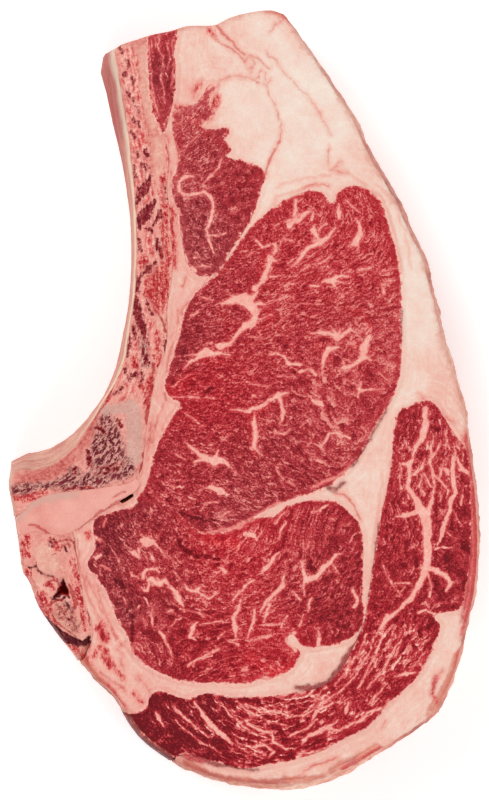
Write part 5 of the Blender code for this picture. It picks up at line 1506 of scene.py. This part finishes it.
def dress_bone(piece, run, meat, silvery, seed, material):
    """A bone: marrow, sponge, grey cartilage, stains, painted shade in its hollows and cracks, and the skin on
    its side.
    """
    spots = roughened(piece, seed, 2.0, 0.35)
    side = piece.face == 0
    spots[side, :2] = piece.spots[side, :2]
    drawn = {"marrow": MARROW, "vein": BONE_VEINS, "speckle": SPECKLES, "grey": GREY_PARTS, "red": RED_PARTS,
             "pale": PALE_PARTS, "bruise": HOLLOW_SHADES, "brown": BROWN_PARTS, "spongy": SPONGE}
    found = {name: stroke_distance(spots, strokes) for name, strokes in drawn.items()}
    along, across = Flow(run, piece.spots[piece.face == 1]).at(piece.pattern)
    skin = side * piece.below_rim(0.05)
    tip = rise(piece.spots[:, 1] + layered_noise(piece.spots, 12, seed + 3) * 12, 66, 104)
    rosy = rise(stroke_distance(spots, ROSY_PARTS), 1.6, -1.4)
    piece.mark(
        **found, along=along, across=across, pink=noise(piece.spots, 9, seed) * 0.3 + rosy,
        skin=skin * silvery, crust=skin * (1 - silvery), ruddy=tip * 0.85,
        dusky=rise(piece.spots[:, 0], -46, -58) * 0.9, meat=meat_distance(piece, meat))
    relief = layered_noise(piece.spots, 5, seed + 1, 4) * 0.16
    relief -= rise(found["marrow"], 0.4, -0.6) * 0.25 + rise(found["vein"], 0.6, -0.2) * 0.2
    relief -= rise(found["speckle"], 0.5, -1.5) * (layered_noise(piece.spots, 0.9, seed + 9, 2) > 0.15) * 0.35
    relief -= rise(found["bruise"], 0.5, -0.6) * 0.4
    piece.make(relief, material)


def dress_pad(piece, material):
    """The cartilage pad."""
    spots = roughened(piece, 60)
    vein = stroke_distance(spots, PAD_VEINS)
    rosy = rise(stroke_distance(spots, PAD_PINK), 1.5, -1.5)
    piece.mark(
        vein=vein, grey=stroke_distance(spots, PAD_GREY), pink=noise(piece.spots, 9, 60) * 0.3 + rosy * 0.4,
        skin=(piece.face == 0) * piece.below_rim())
    relief = layered_noise(piece.spots, 8, 61, 4) * 0.2 - rise(vein, 0.7, -0.2) * 0.25
    piece.make(relief, material)


# Studio

WHITE = (1, 1, 1, 1)
# The floor's size in metres, and its surface
FLOOR_SIZE = 6.0
FLOOR_SURFACE = {"Base Color": (0.95, 0.95, 0.95, 1), "Roughness": 0.9, "Specular IOR Level": 0.0,
                 "Emission Color": WHITE, "Emission Strength": 0.3}
# Each light: its place and size in metres, and its power in watts
LIGHTS = {
    "key": ((-0.75, 0.75, 1.0), 0.9, 12.8),
    "fill": ((0.9, -0.3, 0.9), 1.0, 6.8),
    "low": ((0.0, -1.0, 0.8), 1.0, 4.5),
}
SURROUNDINGS_STRENGTH = 0.3
# The camera above the upper face. The photograph's long side shows 800 pixels at 3 to the millimetre, and its
# middle is half a pixel left of the drawing's origin.
CAMERA_DISTANCE = 1050.0
SHOWN_LENGTH = 800 / 3
HALF_A_PIXEL = 0.167
SENSOR_WIDTH = 36.0


def add_floor():
    """A plain white floor."""
    bpy.ops.mesh.primitive_plane_add(size=FLOOR_SIZE)
    floor = bpy.context.object
    floor.name = "floor"
    material = bpy.data.materials.new("floor_white")
    material.use_nodes = True
    surface = material.node_tree.nodes["Principled BSDF"]
    for name, value in FLOOR_SURFACE.items():
        surface.inputs[name].default_value = value
    floor.data.materials.append(material)


def add_light(name, place, size, power):
    """A soft square light that points at the steak."""
    light = bpy.data.lights.new(name, "AREA")
    light.size = size
    light.energy = power
    made = bpy.data.objects.new(name, light)
    made.location = place
    made.rotation_euler = (-Vector(place)).to_track_quat("-Z", "Y").to_euler()
    bpy.context.scene.collection.objects.link(made)


def add_camera():
    """The photograph's camera, straight above."""
    data = bpy.data.cameras.new("camera")
    data.sensor_width = SENSOR_WIDTH
    data.lens = SENSOR_WIDTH * CAMERA_DISTANCE / SHOWN_LENGTH
    data.clip_start = 0.05
    data.clip_end = 20.0
    camera = bpy.data.objects.new("camera", data)
    place = (ORIGIN[0] - HALF_A_PIXEL, ORIGIN[1], THICKNESS + CAMERA_DISTANCE)
    camera.location = Vector(place) * MM
    bpy.context.scene.collection.objects.link(camera)
    bpy.context.scene.camera = camera


def add_studio():
    """Floor, lights, surroundings, camera and how light turns into colour."""
    add_floor()
    for name, (place, size, power) in LIGHTS.items():
        add_light(name, place, size, power)
    world = bpy.data.worlds.new("studio")
    world.use_nodes = True
    background = world.node_tree.nodes["Background"]
    background.inputs["Color"].default_value = WHITE
    background.inputs["Strength"].default_value = SURROUNDINGS_STRENGTH
    bpy.context.scene.world = world
    bpy.context.scene.view_settings.view_transform = "Standard"
    bpy.context.scene.view_settings.look = "None"
    add_camera()


def main():
    """Makes every piece, then the studio."""
    pieces = {node: Piece(node) for node in PIECES}
    lean = lean_material()
    for index, node in enumerate(MUSCLES):
        dress_lean(pieces[node], 100 + 10 * index, lean)
    meat = rim_tree([loop for node in MUSCLES for loop in rims_of(node)])
    dress_fat(pieces["fat"], meat, fat_material())
    bone = bone_material()
    dress_bone(pieces["rib_bone"], RIB_RUN, meat, 1.0, 200, bone)
    dress_bone(pieces["chine_bone"], CHINE_RUN, meat, 0.0, 210, bone)
    dress_pad(pieces["cartilage_pad"], cartilage_material())
    add_studio()


SOLIDS = {node: read_solid(node) for node in PIECES}
SHORE = shore()
main()
